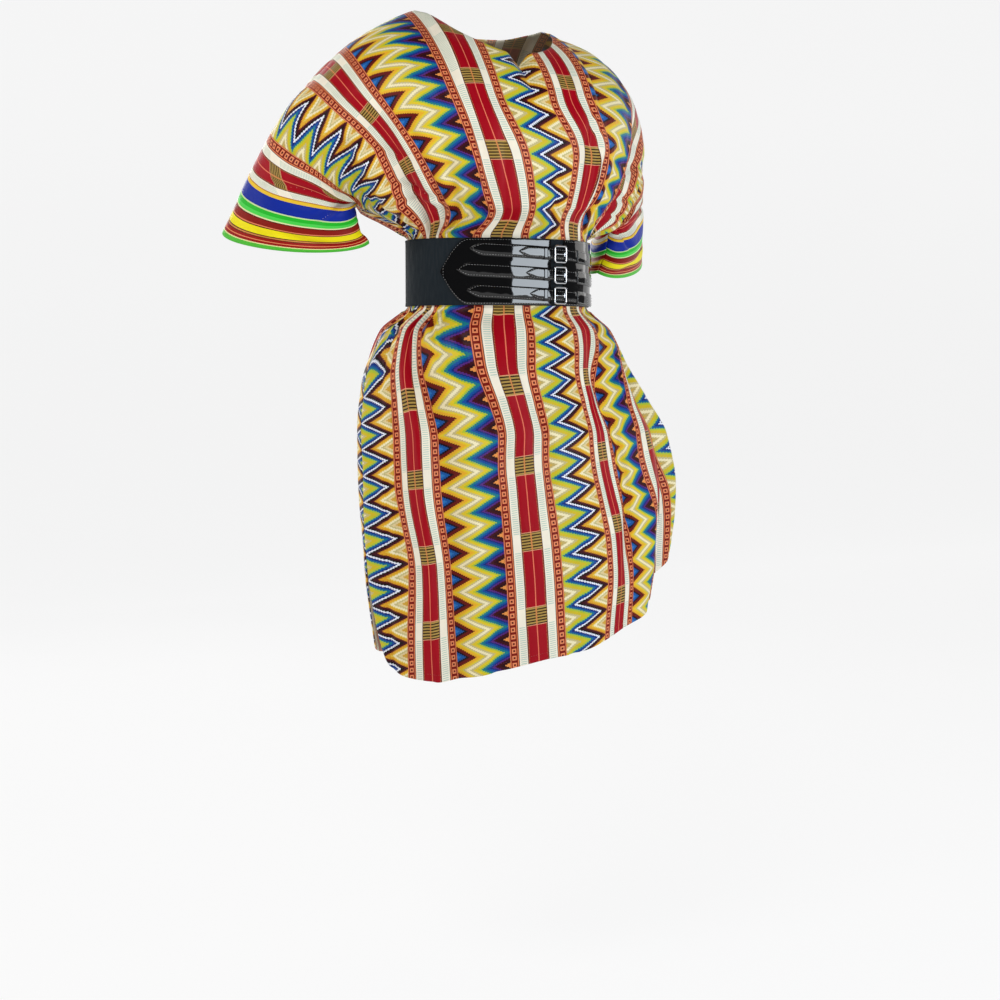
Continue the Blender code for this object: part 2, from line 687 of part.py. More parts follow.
def patent_panels():
    """The two glossy panels on the elastic, each pointed away from the buckles."""
    middle_z = BELT_TOP - BELT_HEIGHT / 2.0
    half = BELT_HEIGHT / 2.0 - PANEL_EDGE
    right = pointed(RIGHT_PANEL_TIP, RIGHT_PANEL_SHOULDER, RIGHT_PANEL_END, half, lambda _: middle_z)
    plate("belt_panel_right", right, PANEL_LIFT, PATENT, PATENT_LEATHER)
    left = pointed(LEFT_PANEL_TIP, LEFT_PANEL_SHOULDER, LEFT_PANEL_START, half, lambda _: middle_z)
    plate("belt_panel_left", left, PANEL_LIFT, PATENT, PATENT_LEATHER)


def strap_set(row):
    """One row across the belt: sewn strap, billet, keeper, sewn base and buckle."""
    def middle(angle):
        return strap_middle(row, angle)

    strap = pointed(row.tip_angle, row.tip_angle + STRAP_POINT, STRAP_END, STRAP_HALF, middle)
    plate(f"strap_{row.name}", strap, STRAP_LIFT, PATENT, PATENT_LEATHER)
    shoulder = row.billet_angle + BILLET_POINT
    billet = pointed(row.billet_angle, shoulder, BILLET_END, BILLET_HALF, middle, BILLET_STEP)
    plate(f"billet_{row.name}", billet, BILLET_LIFT, PATENT, PATENT_LEATHER)
    keeper = [
        (KEEPER_ANGLE + turn, middle(KEEPER_ANGLE) - STRAP_HALF, middle(KEEPER_ANGLE) + STRAP_HALF)
        for turn in (-KEEPER_HALF_ANGLE, KEEPER_HALF_ANGLE)
    ]
    plate(f"keeper_{row.name}", keeper, TOP_LIFT, KEEPER_RISE, PATENT_LEATHER)
    base = [
        (angle, middle(angle) - STRAP_HALF, middle(angle) + STRAP_HALF)
        for angle in steps(BASE_START, BASE_END, PLATE_STEP)
    ]
    plate(f"strap_base_{row.name}", base, STRAP_LIFT, PATENT, PATENT_LEATHER)
    buckle(row.name, middle(BUCKLE_ANGLE))
    z = middle(BUCKLE_ANGLE)
    half_degree = belt_point(BUCKLE_ANGLE + 0.5, z, TOP_LIFT) - belt_point(BUCKLE_ANGLE, z, TOP_LIFT)
    reach = BUCKLE_HALF_WIDTH - 2.0 * BUCKLE_ROD - LAYER_GAP
    turn = 0.5 * reach / half_degree.length
    prong = [
        (BUCKLE_ANGLE + side * turn, z - PRONG_HALF, z + PRONG_HALF) for side in (-1.0, 0.0, 1.0)
    ]
    plate(f"prong_{row.name}", prong, TOP_LIFT, 2.0 * PRONG_HALF, SILVER_METAL)


def buckle(name, z):
    """A rounded rectangle of wire, lying on the billet."""
    curve = bpy.data.curves.new(f"buckle_{name}", "CURVE")
    curve.dimensions = "3D"
    curve.bevel_depth = BUCKLE_ROD
    curve.bevel_resolution = 1
    spline = curve.splines.new("POLY")
    centre = belt_point(BUCKLE_ANGLE, z, TOP_LIFT + BUCKLE_ROD)
    outward = (belt_point(BUCKLE_ANGLE, z, 1.0) - belt_point(BUCKLE_ANGLE, z, 0.0)).normalized()
    along = Vector((0.0, 0.0, 1.0)).cross(outward)
    outline = []
    half_width = BUCKLE_HALF_WIDTH - BUCKLE_ROD
    half_height = BUCKLE_HALF_HEIGHT - BUCKLE_ROD
    for quarter in range(4):
        side = 1.0 if quarter in (0, 3) else -1.0
        up = 1.0 if quarter in (0, 1) else -1.0
        for part in range(4):
            angle = math.pi / 2 * (quarter + part / 3.0)
            across = side * (half_width - BUCKLE_CORNER) + BUCKLE_CORNER * math.cos(angle)
            rise = up * (half_height - BUCKLE_CORNER) + BUCKLE_CORNER * math.sin(angle)
            outline.append(centre + along * across + Vector((0.0, 0.0, rise)))
    spline.points.add(len(outline) - 1)
    for point, place in zip(spline.points, outline):
        point.co = (*place, 1.0)
    spline.use_cyclic_u = True
    return finished(bpy.data.objects.new(f"buckle_{name}", curve), SILVER_METAL)


def main():
    for old in list(bpy.data.objects):
        bpy.data.objects.remove(old, do_unlink=True)
    collection = bpy.data.collections.new("kaftan_dress")
    bpy.context.scene.collection.children.link(collection)
    points, normals = shaped_panels()
    cloth_panel("front_panel", points[FRONT], normals[FRONT], FRONT)
    cloth_panel("back_panel", points[BACK], normals[BACK], BACK)
    elastic_band()
    patent_panels()
    for row in STRAP_ROWS:
        strap_set(row)


main()
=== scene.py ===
import math
from collections import namedtuple

import bpy
from mathutils import Matrix, Vector, noise


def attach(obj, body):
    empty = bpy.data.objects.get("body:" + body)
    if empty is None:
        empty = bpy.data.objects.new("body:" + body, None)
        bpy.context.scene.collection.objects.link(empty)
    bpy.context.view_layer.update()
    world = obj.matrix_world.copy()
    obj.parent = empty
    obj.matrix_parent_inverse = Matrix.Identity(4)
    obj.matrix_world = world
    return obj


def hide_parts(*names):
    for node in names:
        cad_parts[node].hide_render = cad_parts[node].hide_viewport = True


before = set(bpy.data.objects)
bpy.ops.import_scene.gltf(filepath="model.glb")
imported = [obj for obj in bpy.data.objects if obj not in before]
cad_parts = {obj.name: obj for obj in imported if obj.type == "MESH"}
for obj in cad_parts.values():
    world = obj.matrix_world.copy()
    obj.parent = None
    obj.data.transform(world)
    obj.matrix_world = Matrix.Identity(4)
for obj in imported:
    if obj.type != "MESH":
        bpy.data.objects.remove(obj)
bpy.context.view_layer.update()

# Looks of a printed kaftan dress with its wide buckled belt. Metres, +Z up, -Y the
# front, +X the wearer's left. A place on the cloth is given flat, by its distance
# across from the centre line and its place down, as in the part's solids: 0 to 1 from
# the shoulder or overarm seam to the armpit level, 1 to 2 to the belt's lower edge,
# and 2 to 3 to the hem.

# Camera and room
CAMERA_TURN = math.radians(-27.0)
CAMERA_TILT = math.radians(4.8)
CAMERA_DISTANCE = 2.8
CAMERA_HEIGHT = -0.51
CAMERA_LENS = 64.5
CAMERA_SHIFT = 0.013
FLOOR = -1.53
ROOM_LIGHT = 0.10
FLOOR_GLOW = 0.85
FLOOR_SIZE = 60.0
WALL_PLACE = 7.0  # how far behind the dress the floor turns up
WALL_HEIGHT = 8.0
WALL_CURVE = 2.5
WARM_WHITE = (1.0, 0.985, 0.96)
COOL_WHITE = (0.84, 0.92, 1.0)
Lamp = namedtuple("Lamp", "name azimuth height distance width tall power colour")
LAMPS = (
    Lamp("window_softbox", 26.0, -0.20, 2.7, 1.75, 0.70, 36.0, COOL_WHITE),
    Lamp("high_softbox", -50.0, 1.85, 2.4, 1.3, 1.0, 44.0, WARM_WHITE),
    Lamp("side_softbox", -102.0, 0.30, 3.0, 1.2, 1.6, 19.0, WARM_WHITE),
    Lamp("far_softbox", 95.0, 0.50, 3.0, 1.4, 1.6, 11.0, WARM_WHITE),
    Lamp("back_softbox", 180.0, 0.80, 3.4, 2.0, 1.6, 30.0, WARM_WHITE),
)
LAMP_TARGET = Vector((0.0, 0.0, -0.45))

# Cloth, as in the solids
CLOTH = 0.0009
HEMMED_CLOTH = 0.0017  # where the edge is turned in and double
HEM_WIDTH = 0.012
SEAM_PART = 0.0001
NECK_HALF = 0.109
SIDE_ACROSS = 0.36
CUFF_ACROSS = 0.57
NECK_FRONT = 0.132
NECK_FRONT_DROP = 0.068
NECK_BACK = 0.055
NECK_BACK_DROP = 0.015
NECK_CURVE = 1.5
NOTCH_HALF = 0.018
NOTCH_DROP = 0.021
NECK_TILT = 0.008
TILT_END = 0.20
LEFT_OVERARM_DROP = 0.017
LEFT_UNDERARM_DROP = 0.036
LEFT_FULLNESS = 0.80
BODICE_LENGTH = 0.26
WAIST_LENGTH = 0.144
SKIRT_LENGTH = 0.53
FLAT_CENTRE = 0.127
GATHERED_DENSITY = 0.32
GATHER_FADE = 0.20
FOLD_START = 0.22
FOLD_END = 0.30
FLAT_ABOVE = 1.29
FLAT_BELOW = 2.0
FOLD_REACH = (0.30, 0.10)
CREASE_STRENGTH = 1.7
STEEP_SIDE = 0.45  # a crease's outer side is this much narrower than its inner side
FRONT, BACK = -1, 1
HEM_DOWN = 3.0

# Grid of the cloth, a few millimetres a cell
SLEEVE_COLUMNS = 42
SIDE_COLUMNS = 63
NECK_COLUMNS = 27
BODICE_ROWS = 58
WAIST_ROWS = 32
SKIRT_ROWS = 104
HEM_CELLS = 2  # from the edge to the hem's stitches

# Belt, as in the solids
BELT_TOP = -0.344
BELT_HEIGHT = 0.100
BELT_HALF_WIDTH = 0.150
BELT_HALF_DEPTH = 0.112
BELT_CENTRE_X = 0.019
BELT_CENTRE_Y = 0.0
ELASTIC = 0.0022
DRESS_CLEARANCE = 0.0008
LAYER_GAP = 0.0003
PATENT = 0.0015
STRAP_HALF = 0.0098
STRAP_TILT = -0.05
TIP_HALF = 0.0008
BUCKLE_HALF_WIDTH = 0.0130
BUCKLE_HALF_HEIGHT = 0.0135
BUCKLE_ROD = 0.0015
BUCKLE_CORNER = 0.004
BUCKLE_ANGLE = 18.0
PRONG_HALF = 0.0010

OverarmPoint = namedtuple("OverarmPoint", "x y z")
OVERARM = (
    OverarmPoint(0.109, 0.029, -0.004),
    OverarmPoint(0.155, 0.030, -0.020),
    OverarmPoint(0.197, 0.031, -0.040),
    OverarmPoint(0.225, 0.035, -0.062),
    OverarmPoint(0.250, 0.044, -0.090),
    OverarmPoint(0.275, 0.060, -0.122),
    OverarmPoint(0.297, 0.080, -0.155),
    OverarmPoint(0.330, 0.118, -0.215),
    OverarmPoint(0.366, 0.170, -0.325),
)
UnderarmPoint = namedtuple("UnderarmPoint", "across x y z")
UNDERARM = (
    UnderarmPoint(0.36, 0.205, 0.020, -0.300),
    UnderarmPoint(0.43, 0.222, 0.024, -0.286),
    UnderarmPoint(0.50, 0.219, 0.025, -0.314),
    UnderarmPoint(0.57, 0.200, 0.020, -0.350),
)
Column = namedtuple("Column", "across middle_x middle_y middle_z carry_y carry_z")
FRONT_COLUMNS = (
    Column(0.000, 0.000, -0.168, -0.180, -0.150, -0.450),
    Column(0.050, 0.052, -0.166, -0.176, -0.170, -0.440),
    Column(0.109, 0.112, -0.152, -0.165, -0.440, -0.400),
    Column(0.160, 0.160, -0.128, -0.160, -0.400, -0.370),
    Column(0.200, 0.195, -0.104, -0.163, -0.320, -0.340),
    Column(0.260, 0.238, -0.068, -0.175, -0.180, -0.240),
    Column(0.300, 0.260, -0.043, -0.190, -0.080, -0.150),
    Column(0.360, 0.293, 0.003, -0.226, 0.000, 0.000),
    Column(0.570, 0.317, 0.060, -0.362, 0.000, 0.000),
)
BACK_COLUMNS = (
    Column(0.000, 0.000, 0.150, -0.165, 0.120, -0.440),
    Column(0.050, 0.052, 0.149, -0.162, 0.140, -0.420),
    Column(0.109, 0.112, 0.143, -0.152, 0.300, -0.360),
    Column(0.200, 0.185, 0.122, -0.157, 0.250, -0.360),
    Column(0.260, 0.220, 0.110, -0.172, 0.150, -0.260),
    Column(0.300, 0.236, 0.104, -0.187, 0.080, -0.160),
    Column(0.360, 0.226, 0.090, -0.222, 0.000, 0.000),
    Column(0.400, 0.248, 0.098, -0.250, 0.000, 0.000),
    Column(0.570, 0.262, 0.126, -0.343, 0.000, 0.000),
)
Ring = namedtuple("Ring", "z half_width front back centre_x centre_y turn")
UNDER_BELT_WIDTH = BELT_HALF_WIDTH - ELASTIC - DRESS_CLEARANCE
UNDER_BELT_DEPTH = BELT_HALF_DEPTH - ELASTIC - DRESS_CLEARANCE
RINGS = (
    Ring(-0.300, 0.205, 0.175, 0.125, 0.010, 0.020, 0.000),
    Ring(-0.342, UNDER_BELT_WIDTH, UNDER_BELT_DEPTH, UNDER_BELT_DEPTH, 0.019, 0.000, 0.000),
    Ring(-0.446, UNDER_BELT_WIDTH, UNDER_BELT_DEPTH, UNDER_BELT_DEPTH, 0.019, 0.000, 0.000),
    Ring(-0.482, 0.188, 0.128, 0.120, 0.014, -0.006, 0.000),
    Ring(-0.530, 0.216, 0.142, 0.131, 0.012, -0.012, 0.000),
    Ring(-0.590, 0.242, 0.150, 0.142, 0.022, -0.020, 0.004),
    Ring(-0.640, 0.259, 0.156, 0.150, 0.033, -0.028, 0.008),
    Ring(-0.730, 0.265, 0.160, 0.158, 0.039, -0.033, 0.012),
    Ring(-0.840, 0.253, 0.160, 0.156, 0.032, -0.033, 0.020),
    Ring(-0.920, 0.236, 0.156, 0.150, 0.024, -0.033, 0.024),
    Ring(-1.000, 0.218, 0.152, 0.144, 0.018, -0.033, 0.026),
)
HemPoint = namedtuple("HemPoint", "across front back")
HEM = (
    HemPoint(-0.360, -0.800, -0.800),
    HemPoint(-0.352, -0.900, -0.890),
    HemPoint(-0.345, -0.942, -0.925),
    HemPoint(-0.332, -0.979, -0.952),
    HemPoint(-0.315, -0.993, -0.966),
    HemPoint(-0.280, -1.000, -0.975),
    HemPoint(-0.230, -1.002, -0.980),
    HemPoint(-0.170, -0.992, -0.978),
    HemPoint(-0.050, -0.970, -0.968),
    HemPoint(0.030, -0.961, -0.960),
    HemPoint(0.100, -0.943, -0.950),
    HemPoint(0.180, -0.910, -0.935),
    HemPoint(0.250, -0.860, -0.920),
    HemPoint(0.310, -0.805, -0.890),
    HemPoint(0.345, -0.775, -0.840),
    HemPoint(0.360, -0.755, -0.755),
)

# The solids' own folds, a soft trough (depth below zero) or ridge along a line
Fold = namedtuple("Fold", "from_across from_down to_across to_down width depth")
FRONT_FOLDS = (
    Fold(-0.215, 2.00, -0.205, 3.00, 0.024, -0.016),
    Fold(-0.165, 2.00, -0.170, 2.75, 0.022, 0.007),
    Fold(-0.275, 2.00, -0.290, 2.90, 0.026, -0.010),
    Fold(-0.320, 2.00, -0.335, 2.80, 0.018, -0.007),
    Fold(0.205, 2.00, 0.235, 3.10, 0.024, -0.018),
    Fold(0.155, 2.00, 0.170, 3.00, 0.026, 0.009),
    Fold(0.280, 2.00, 0.300, 3.00, 0.024, -0.011),
    Fold(0.325, 2.00, 0.335, 2.80, 0.018, -0.007),
    Fold(0.050, 2.05, 0.060, 2.90, 0.034, -0.005),
    Fold(-0.150, 0.45, -0.160, 1.45, 0.022, -0.009),
    Fold(-0.255, 0.35, -0.215, 1.45, 0.024, -0.014),
    Fold(-0.310, 0.30, -0.270, 1.40, 0.020, 0.006),
    Fold(0.170, 0.55, 0.155, 1.45, 0.022, -0.010),
    Fold(0.255, 0.35, 0.210, 1.45, 0.024, -0.014),
    Fold(0.310, 0.30, 0.270, 1.40, 0.020, 0.006),
    Fold(-0.350, 0.30, -0.365, 1.05, 0.022, -0.009),
    Fold(0.350, 0.30, 0.365, 1.05, 0.022, -0.007),
    Fold(-0.420, 0.95, -0.470, 0.30, 0.020, -0.007),
    Fold(0.420, 0.95, 0.470, 0.30, 0.020, -0.007),
)
BACK_FOLDS = (
    Fold(-0.200, 2.00, -0.220, 3.00, 0.026, -0.014),
    Fold(-0.120, 2.00, -0.130, 2.80, 0.030, 0.007),
    Fold(-0.290, 2.00, -0.300, 2.90, 0.024, -0.010),
    Fold(0.010, 2.00, 0.000, 2.90, 0.030, -0.008),
    Fold(0.130, 2.00, 0.150, 2.80, 0.030, 0.007),
    Fold(0.215, 2.00, 0.230, 3.00, 0.026, -0.014),
    Fold(0.300, 2.00, 0.315, 2.90, 0.022, -0.009),
    Fold(-0.080, 0.60, -0.070, 1.45, 0.026, -0.008),
    Fold(0.090, 0.55, 0.080, 1.45, 0.026, -0.008),
    Fold(-0.250, 0.40, -0.200, 1.45, 0.026, -0.012),
    Fold(0.250, 0.40, 0.200, 1.45, 0.026, -0.012),
    Fold(-0.420, 0.95, -0.460, 0.35, 0.022, -0.007),
    Fold(0.420, 0.95, 0.460, 0.35, 0.022, -0.007),
)

# Finer creases that only show here
FRONT_CREASES = (
    Fold(-0.362, 1.04, -0.412, 0.42, 0.013, -0.0052),
    Fold(-0.345, 1.06, -0.300, 0.46, 0.013, -0.0050),
    Fold(-0.385, 1.02, -0.510, 0.60, 0.012, -0.0046),
    Fold(0.362, 1.04, 0.412, 0.42, 0.013, -0.0048),
    Fold(0.345, 1.06, 0.300, 0.46, 0.013, -0.0046),
    Fold(0.385, 1.02, 0.510, 0.60, 0.012, -0.0042),
    Fold(-0.200, 0.50, -0.178, 1.34, 0.012, -0.0042),
    Fold(0.126, 0.62, 0.122, 1.34, 0.011, -0.0040),
    Fold(-0.285, 2.16, -0.296, 2.82, 0.013, -0.0022),
    Fold(-0.340, 0.75, -0.150, 1.05, 0.007, -0.0030),
    Fold(-0.330, 0.55, -0.190, 0.80, 0.009, -0.0028),
    Fold(-0.300, 0.92, -0.120, 1.22, 0.006, -0.0024),
    Fold(0.335, 0.70, 0.170, 1.05, 0.007, -0.0030),
    Fold(0.330, 0.50, 0.210, 0.78, 0.009, -0.0026),
    Fold(0.300, 0.92, 0.130, 1.20, 0.006, -0.0022),
    Fold(-0.060, 0.50, -0.072, 1.30, 0.007, -0.0022),
    Fold(0.028, 0.65, 0.034, 1.30, 0.008, -0.0020),
    Fold(0.092, 0.35, 0.088, 1.30, 0.008, -0.0026),
    Fold(-0.118, 0.70, -0.104, 1.30, 0.006, -0.0022),
    Fold(-0.400, 0.20, -0.360, 0.90, 0.008, -0.0030),
    Fold(-0.470, 0.15, -0.400, 0.80, 0.007, -0.0024),
    Fold(-0.520, 0.20, -0.560, 0.85, 0.009, -0.0026),
    Fold(0.400, 0.20, 0.360, 0.90, 0.008, -0.0030),
    Fold(0.470, 0.15, 0.400, 0.80, 0.007, -0.0024),
    Fold(0.520, 0.20, 0.560, 0.85, 0.009, -0.0026),
    Fold(-0.030, 2.02, -0.046, 2.62, 0.011, -0.0026),
    Fold(0.090, 2.02, 0.118, 2.95, 0.011, -0.0052),
    Fold(-0.098, 2.02, -0.120, 2.55, 0.010, -0.0026),
    Fold(0.134, 2.05, 0.140, 2.50, 0.007, 0.0020),
    Fold(-0.250, 2.08, -0.236, 3.10, 0.012, 0.0030),
    Fold(0.250, 2.10, 0.276, 3.10, 0.012, 0.0030),
    Fold(0.018, 2.55, 0.010, 3.10, 0.016, -0.0022),
    Fold(-0.140, 2.60, -0.136, 3.10, 0.014, -0.0028),
    Fold(-0.305, 2.30, -0.325, 3.10, 0.010, -0.0026),
    Fold(0.180, 2.45, 0.196, 3.10, 0.013, -0.0026),
)
BACK_CREASES = (
    Fold(-0.330, 0.70, -0.160, 1.05, 0.007, -0.0028),
    Fold(0.320, 0.62, 0.180, 0.98, 0.008, -0.0028),
    Fold(-0.290, 0.45, -0.120, 0.62, 0.010, -0.0024),
    Fold(0.280, 0.38, 0.110, 0.58, 0.010, -0.0022),
    Fold(-0.030, 0.60, -0.040, 1.30, 0.008, -0.0024),
    Fold(0.036, 0.72, 0.040, 1.30, 0.007, -0.0020),
    Fold(-0.150, 0.75, -0.140, 1.30, 0.007, -0.0022),
    Fold(0.160, 0.68, 0.148, 1.30, 0.007, -0.0024),
    Fold(-0.410, 0.20, -0.370, 0.90, 0.008, -0.0026),
    Fold(0.410, 0.20, 0.370, 0.90, 0.008, -0.0026),
    Fold(-0.500, 0.20, -0.540, 0.85, 0.009, -0.0024),
    Fold(0.500, 0.20, 0.540, 0.85, 0.009, -0.0024),
    Fold(-0.060, 2.02, -0.076, 2.80, 0.010, -0.0028),
    Fold(0.062, 2.02, 0.070, 2.70, 0.010, -0.0028),
    Fold(-0.160, 2.02, -0.176, 2.60, 0.009, -0.0024),
    Fold(0.172, 2.02, 0.180, 2.62, 0.009, -0.0024),
    Fold(-0.250, 2.10, -0.256, 3.10, 0.012, 0.0030),
    Fold(0.260, 2.10, 0.268, 3.10, 0.012, 0.0028),
    Fold(-0.026, 2.55, -0.020, 3.10, 0.016, -0.0024),
    Fold(0.110, 2.50, 0.104, 3.10, 0.014, -0.0024),
)
# Ripples where the cloth is gathered by the belt: pitch, depth and reach on the cloth.
# They wander by two waves, and are shallower in the flat middle.
Ripple = namedtuple("Ripple", "pitch depth reach")
RIPPLES = (Ripple(0.023, 0.0021, 0.040), Ripple(0.047, 0.0038, 0.120))
# Slow unevenness of hanging cloth: size across, size down and depth
Sway = namedtuple("Sway", "across down depth")
SWAYS = (Sway(0.110, 0.260, 0.0046), Sway(0.036, 0.085, 0.0020))
RIPPLE_RISE = 0.012
FLAT_SHARE = 0.22
Wander = namedtuple("Wander", "size waves turn")
WANDERS = (Wander(1.9, 31.0, 1.0), Wander(1.1, 73.0, 2.0))
BELT_MIDDLE_DOWN = 1.6
PANEL_NOISE = 7.3  # keeps the sway of the two panels apart
SEAM_BLEND = 0.030
SEAM_TROUGH = 0.0007
SEAM_WIDTH = 0.0030
STITCH_TROUGH = 0.0003
STITCH_WIDTH = 0.0030
# A stitch's length, the way from one to the next, and the thread's half thickness,
# with how deep its ends and its underside lie, in half thicknesses
Stitch = namedtuple("Stitch", "length pitch thread")
CLOTH_STITCH = Stitch(0.0024, 0.0036, 0.00022)
PATENT_STITCH = Stitch(0.0028, 0.0042, 0.00042)
STITCH_ENDS = 0.3
STITCH_UNDER = 0.5
EDGE_ROLL = 0.4  # how far an edge rounds out, in walls
HEM_STEP = 0.001

# The print, on the flat cloth, in millimetres
REPEAT = 360.0
CENTRE_BAND = 81.0
STRIPE_GROUP = 86.0
WIDE_BAND = 107.0
CHEVRON_PITCH = 39.2
CHEVRON_STEP = 1.63
RING_BAND = 14.0
FINE_LINE = 1.0
LADDER = 12.5
LADDER_EDGE = 0.8
RING_PITCH = 10.7
BLOCK_PITCH = 112.5
BLOCK_HALF = 13.0
BORDER_START = 470.0
WIDE_PHASE = 12.2
CENTRE_PHASE = 5.2

# Where the print lies across the front at each level, from the wearer's right to left:
# the side seam's place in the print, where both edges of the far and of the near stripe
# group lie on each side, and the other side seam's place in the print
Lay = namedtuple("Lay", (
    "down right_side far_right_outer far_right_inner near_right_outer near_right_inner"
    " near_left_inner near_left_outer far_left_inner far_left_outer left_side"
))
LAYS = (
    Lay(0.00, -0.360, -0.3195, -0.2335, -0.128, -0.050, 0.022, 0.100, 0.225, 0.315, 0.360),
    Lay(0.35, -0.372, -0.300, -0.222, -0.127, -0.048, 0.022, 0.095, 0.210, 0.295, 0.366),
    Lay(0.72, -0.395, -0.268, -0.194, -0.114, -0.021, 0.054, 0.132, 0.200, 0.275, 0.375),
    Lay(1.27, -0.390, -0.265, -0.165, -0.091, -0.004, 0.056, 0.120, 0.190, 0.270, 0.380),
    Lay(2.04, -0.385, -0.280, -0.190, -0.089, -0.001, 0.060, 0.112, 0.170, 0.250, 0.420),
    Lay(2.26, -0.385, -0.290, -0.210, -0.107, -0.018, 0.056, 0.096, 0.150, 0.232, 0.430),
    Lay(2.47, -0.385, -0.296, -0.217, -0.127, -0.040, 0.036, 0.088, 0.135, 0.228, 0.430),
    Lay(2.70, -0.385, -0.276, -0.207, -0.122, -0.028, 0.062, 0.116, 0.170, 0.250, 0.430),
    Lay(3.00, -0.385, -0.292, -0.203, -0.112, -0.008, 0.076, 0.142, 0.200, 0.270, 0.430),
)
GRAIN_TILT = 0.12  # the skirt's cloth lifts this much for each metre to the left
GRAIN_REACH = 0.3
GRAIN_SHIFT = 0.0015
SLEEVE_SLANT = 0.90  # the print's length falls this much for each metre out the sleeve
SLANT_START = 0.19
SLANT_SOFTNESS = 0.04
SLEEVE_BLEND = (0.33, 0.43)  # across: from the body's print to the sleeve's
SLANT_FADE = (0.45, 1.35)  # down: where the body's print turns straight
BULGE_START = 0.45  # above here the print's length follows the cloth's lean too
BULGE_END = 0.80

# Colours of the print: from this place on, in millimetres of the zigzag's own measure
CENTRE_REACH = 47.5
CENTRE_CHEVRONS = (
    (-47.5, "#E6B23A"),
    (-43.5, "#C9B26A"),
    (-36.0, "#EBDDAA"),
    (-34.5, "#FBEFC4"),
    (-25.5, "#CDBF86"),
    (-18.0, "#D8C02A"),
    (-6.5, "#B6CA38"),
    (0.5, "#1B7F8A"),
    (5.0, "#1450A0"),
    (10.0, "#122A7A"),
    (15.5, "#F1F4FF"),
    (21.5, "#1E0E10"),
    (28.0, "#420A1A"),
    (35.5, "#A8541C"),
    (37.5, "#E6A92C"),
    (46.0, "#EBCB4A"),
    (50.0, "#FBEFC4"),
    (57.5, "#CDBF86"),
    (63.0, "#EBD69C"),
    (70.0, "#D9A83E"),
)
WIDE_REACH = 50.0
WIDE_CHEVRONS = (
    (-50.0, "#2E7BC4"),
    (-42.0, "#1C5AA8"),
    (-31.0, "#1A0C18"),
    (-24.0, "#6B1410"),
    (-9.5, "#F2B52E"),
    (1.5, "#EBCF34"),
    (9.0, "#CDBF86"),
    (14.0, "#FBEFC4"),
    (24.5, "#CFC08A"),
    (31.5, "#E8CC2E"),
    (42.0, "#B6CA38"),
    (48.5, "#1B7F8A"),
    (57.5, "#1450A0"),
    (66.0, "#122A7A"),
    (72.0, "#5A2A80"),
    (78.0, "#400818"),
    (88.0, "#2B0A12"),
    (97.0, "#F29A4E"),
)
BORDER_STRIPES = (
    (0.0, "#B8761C"),
    (1.4, "#F5C934"),
    (7.0, "#0A2A9E"),
    (29.0, "#CFE8A0"),
    (31.4, "#27C02E"),
    (38.0, "#4EDB52"),
    (44.5, "#EFF0B4"),
    (46.5, "#4A1C0C"),
    (48.2, "#8E1408"),
    (59.0, "#F08A5E"),
    (61.0, "#3A1608"),
    (62.6, "#FBEA10"),
    (75.0, "#3A1608"),
    (76.3, "#D98A4A"),
    (78.6, "#3A1608"),
    (79.8, "#9E1208"),
    (84.4, "#F08A5E"),
    (86.0, "#9E1208"),
    (90.4, "#EFE6A0"),
    (92.4, "#54C43A"),
)
BORDER_WIDTH = 100.0


def smooth_row(rows, at):
    """The values of a table at a place between its rows, with no overshoot."""
    if at <= rows[0][0]:
        return rows[0][1:]
    if at >= rows[-1][0]:
        return rows[-1][1:]
    k = next(n for n in range(len(rows) - 1) if at <= rows[n + 1][0])
    step = rows[k + 1][0] - rows[k][0]
    t = (at - rows[k][0]) / step
    values = []
    for column in range(1, len(rows[0])):
        low, high = rows[k][column], rows[k + 1][column]
        start = step * slope_at(rows, k, column)
        end = step * slope_at(rows, k + 1, column)
        values.append(hermite(low, high, start, end, t))
    return values


def slope_at(rows, k, column):
    """Slope at a row: the harmonic mean of its neighbours' slopes, or 0 at a peak."""
    if k == 0 or k == len(rows) - 1:
        near = rows[1] if k == 0 else rows[-2]
        return (near[column] - rows[k][column]) / (near[0] - rows[k][0])
    before = (rows[k][column] - rows[k - 1][column]) / (rows[k][0] - rows[k - 1][0])
    after = (rows[k + 1][column] - rows[k][column]) / (rows[k + 1][0] - rows[k][0])
    if before * after <= 0.0:
        return 0.0
    return 2.0 * before * after / (before + after)


def hermite(low, high, start, end, t):
    """Cubic from low to high with the given end velocities, for numbers or vectors."""
    rest = 1.0 - t
    return (
        low * (rest * rest * (1.0 + 2.0 * t))
        + high * (t * t * (3.0 - 2.0 * t))
        + start * (t * rest * rest)
        - end * (t * t * rest)
    )


def ease(value, low, high):
    """0 below low, 1 above high, smooth between."""
    t = min(1.0, max(0.0, (value - low) / (high - low)))
    return t * t * (3.0 - 2.0 * t)


def mirrored(vector, half):
    return Vector((vector[0] * half, vector[1], vector[2]))


OVERARM_STEPS = [(Vector(b) - Vector(a)).length for a, b in zip(OVERARM, OVERARM[1:])]
OVERARM_ROWS = [
    (sum(OVERARM_STEPS[:n]) / sum(OVERARM_STEPS), *point) for n, point in enumerate(OVERARM)
]
RING_ROWS = [(-row[0], *row[1:]) for row in RINGS]


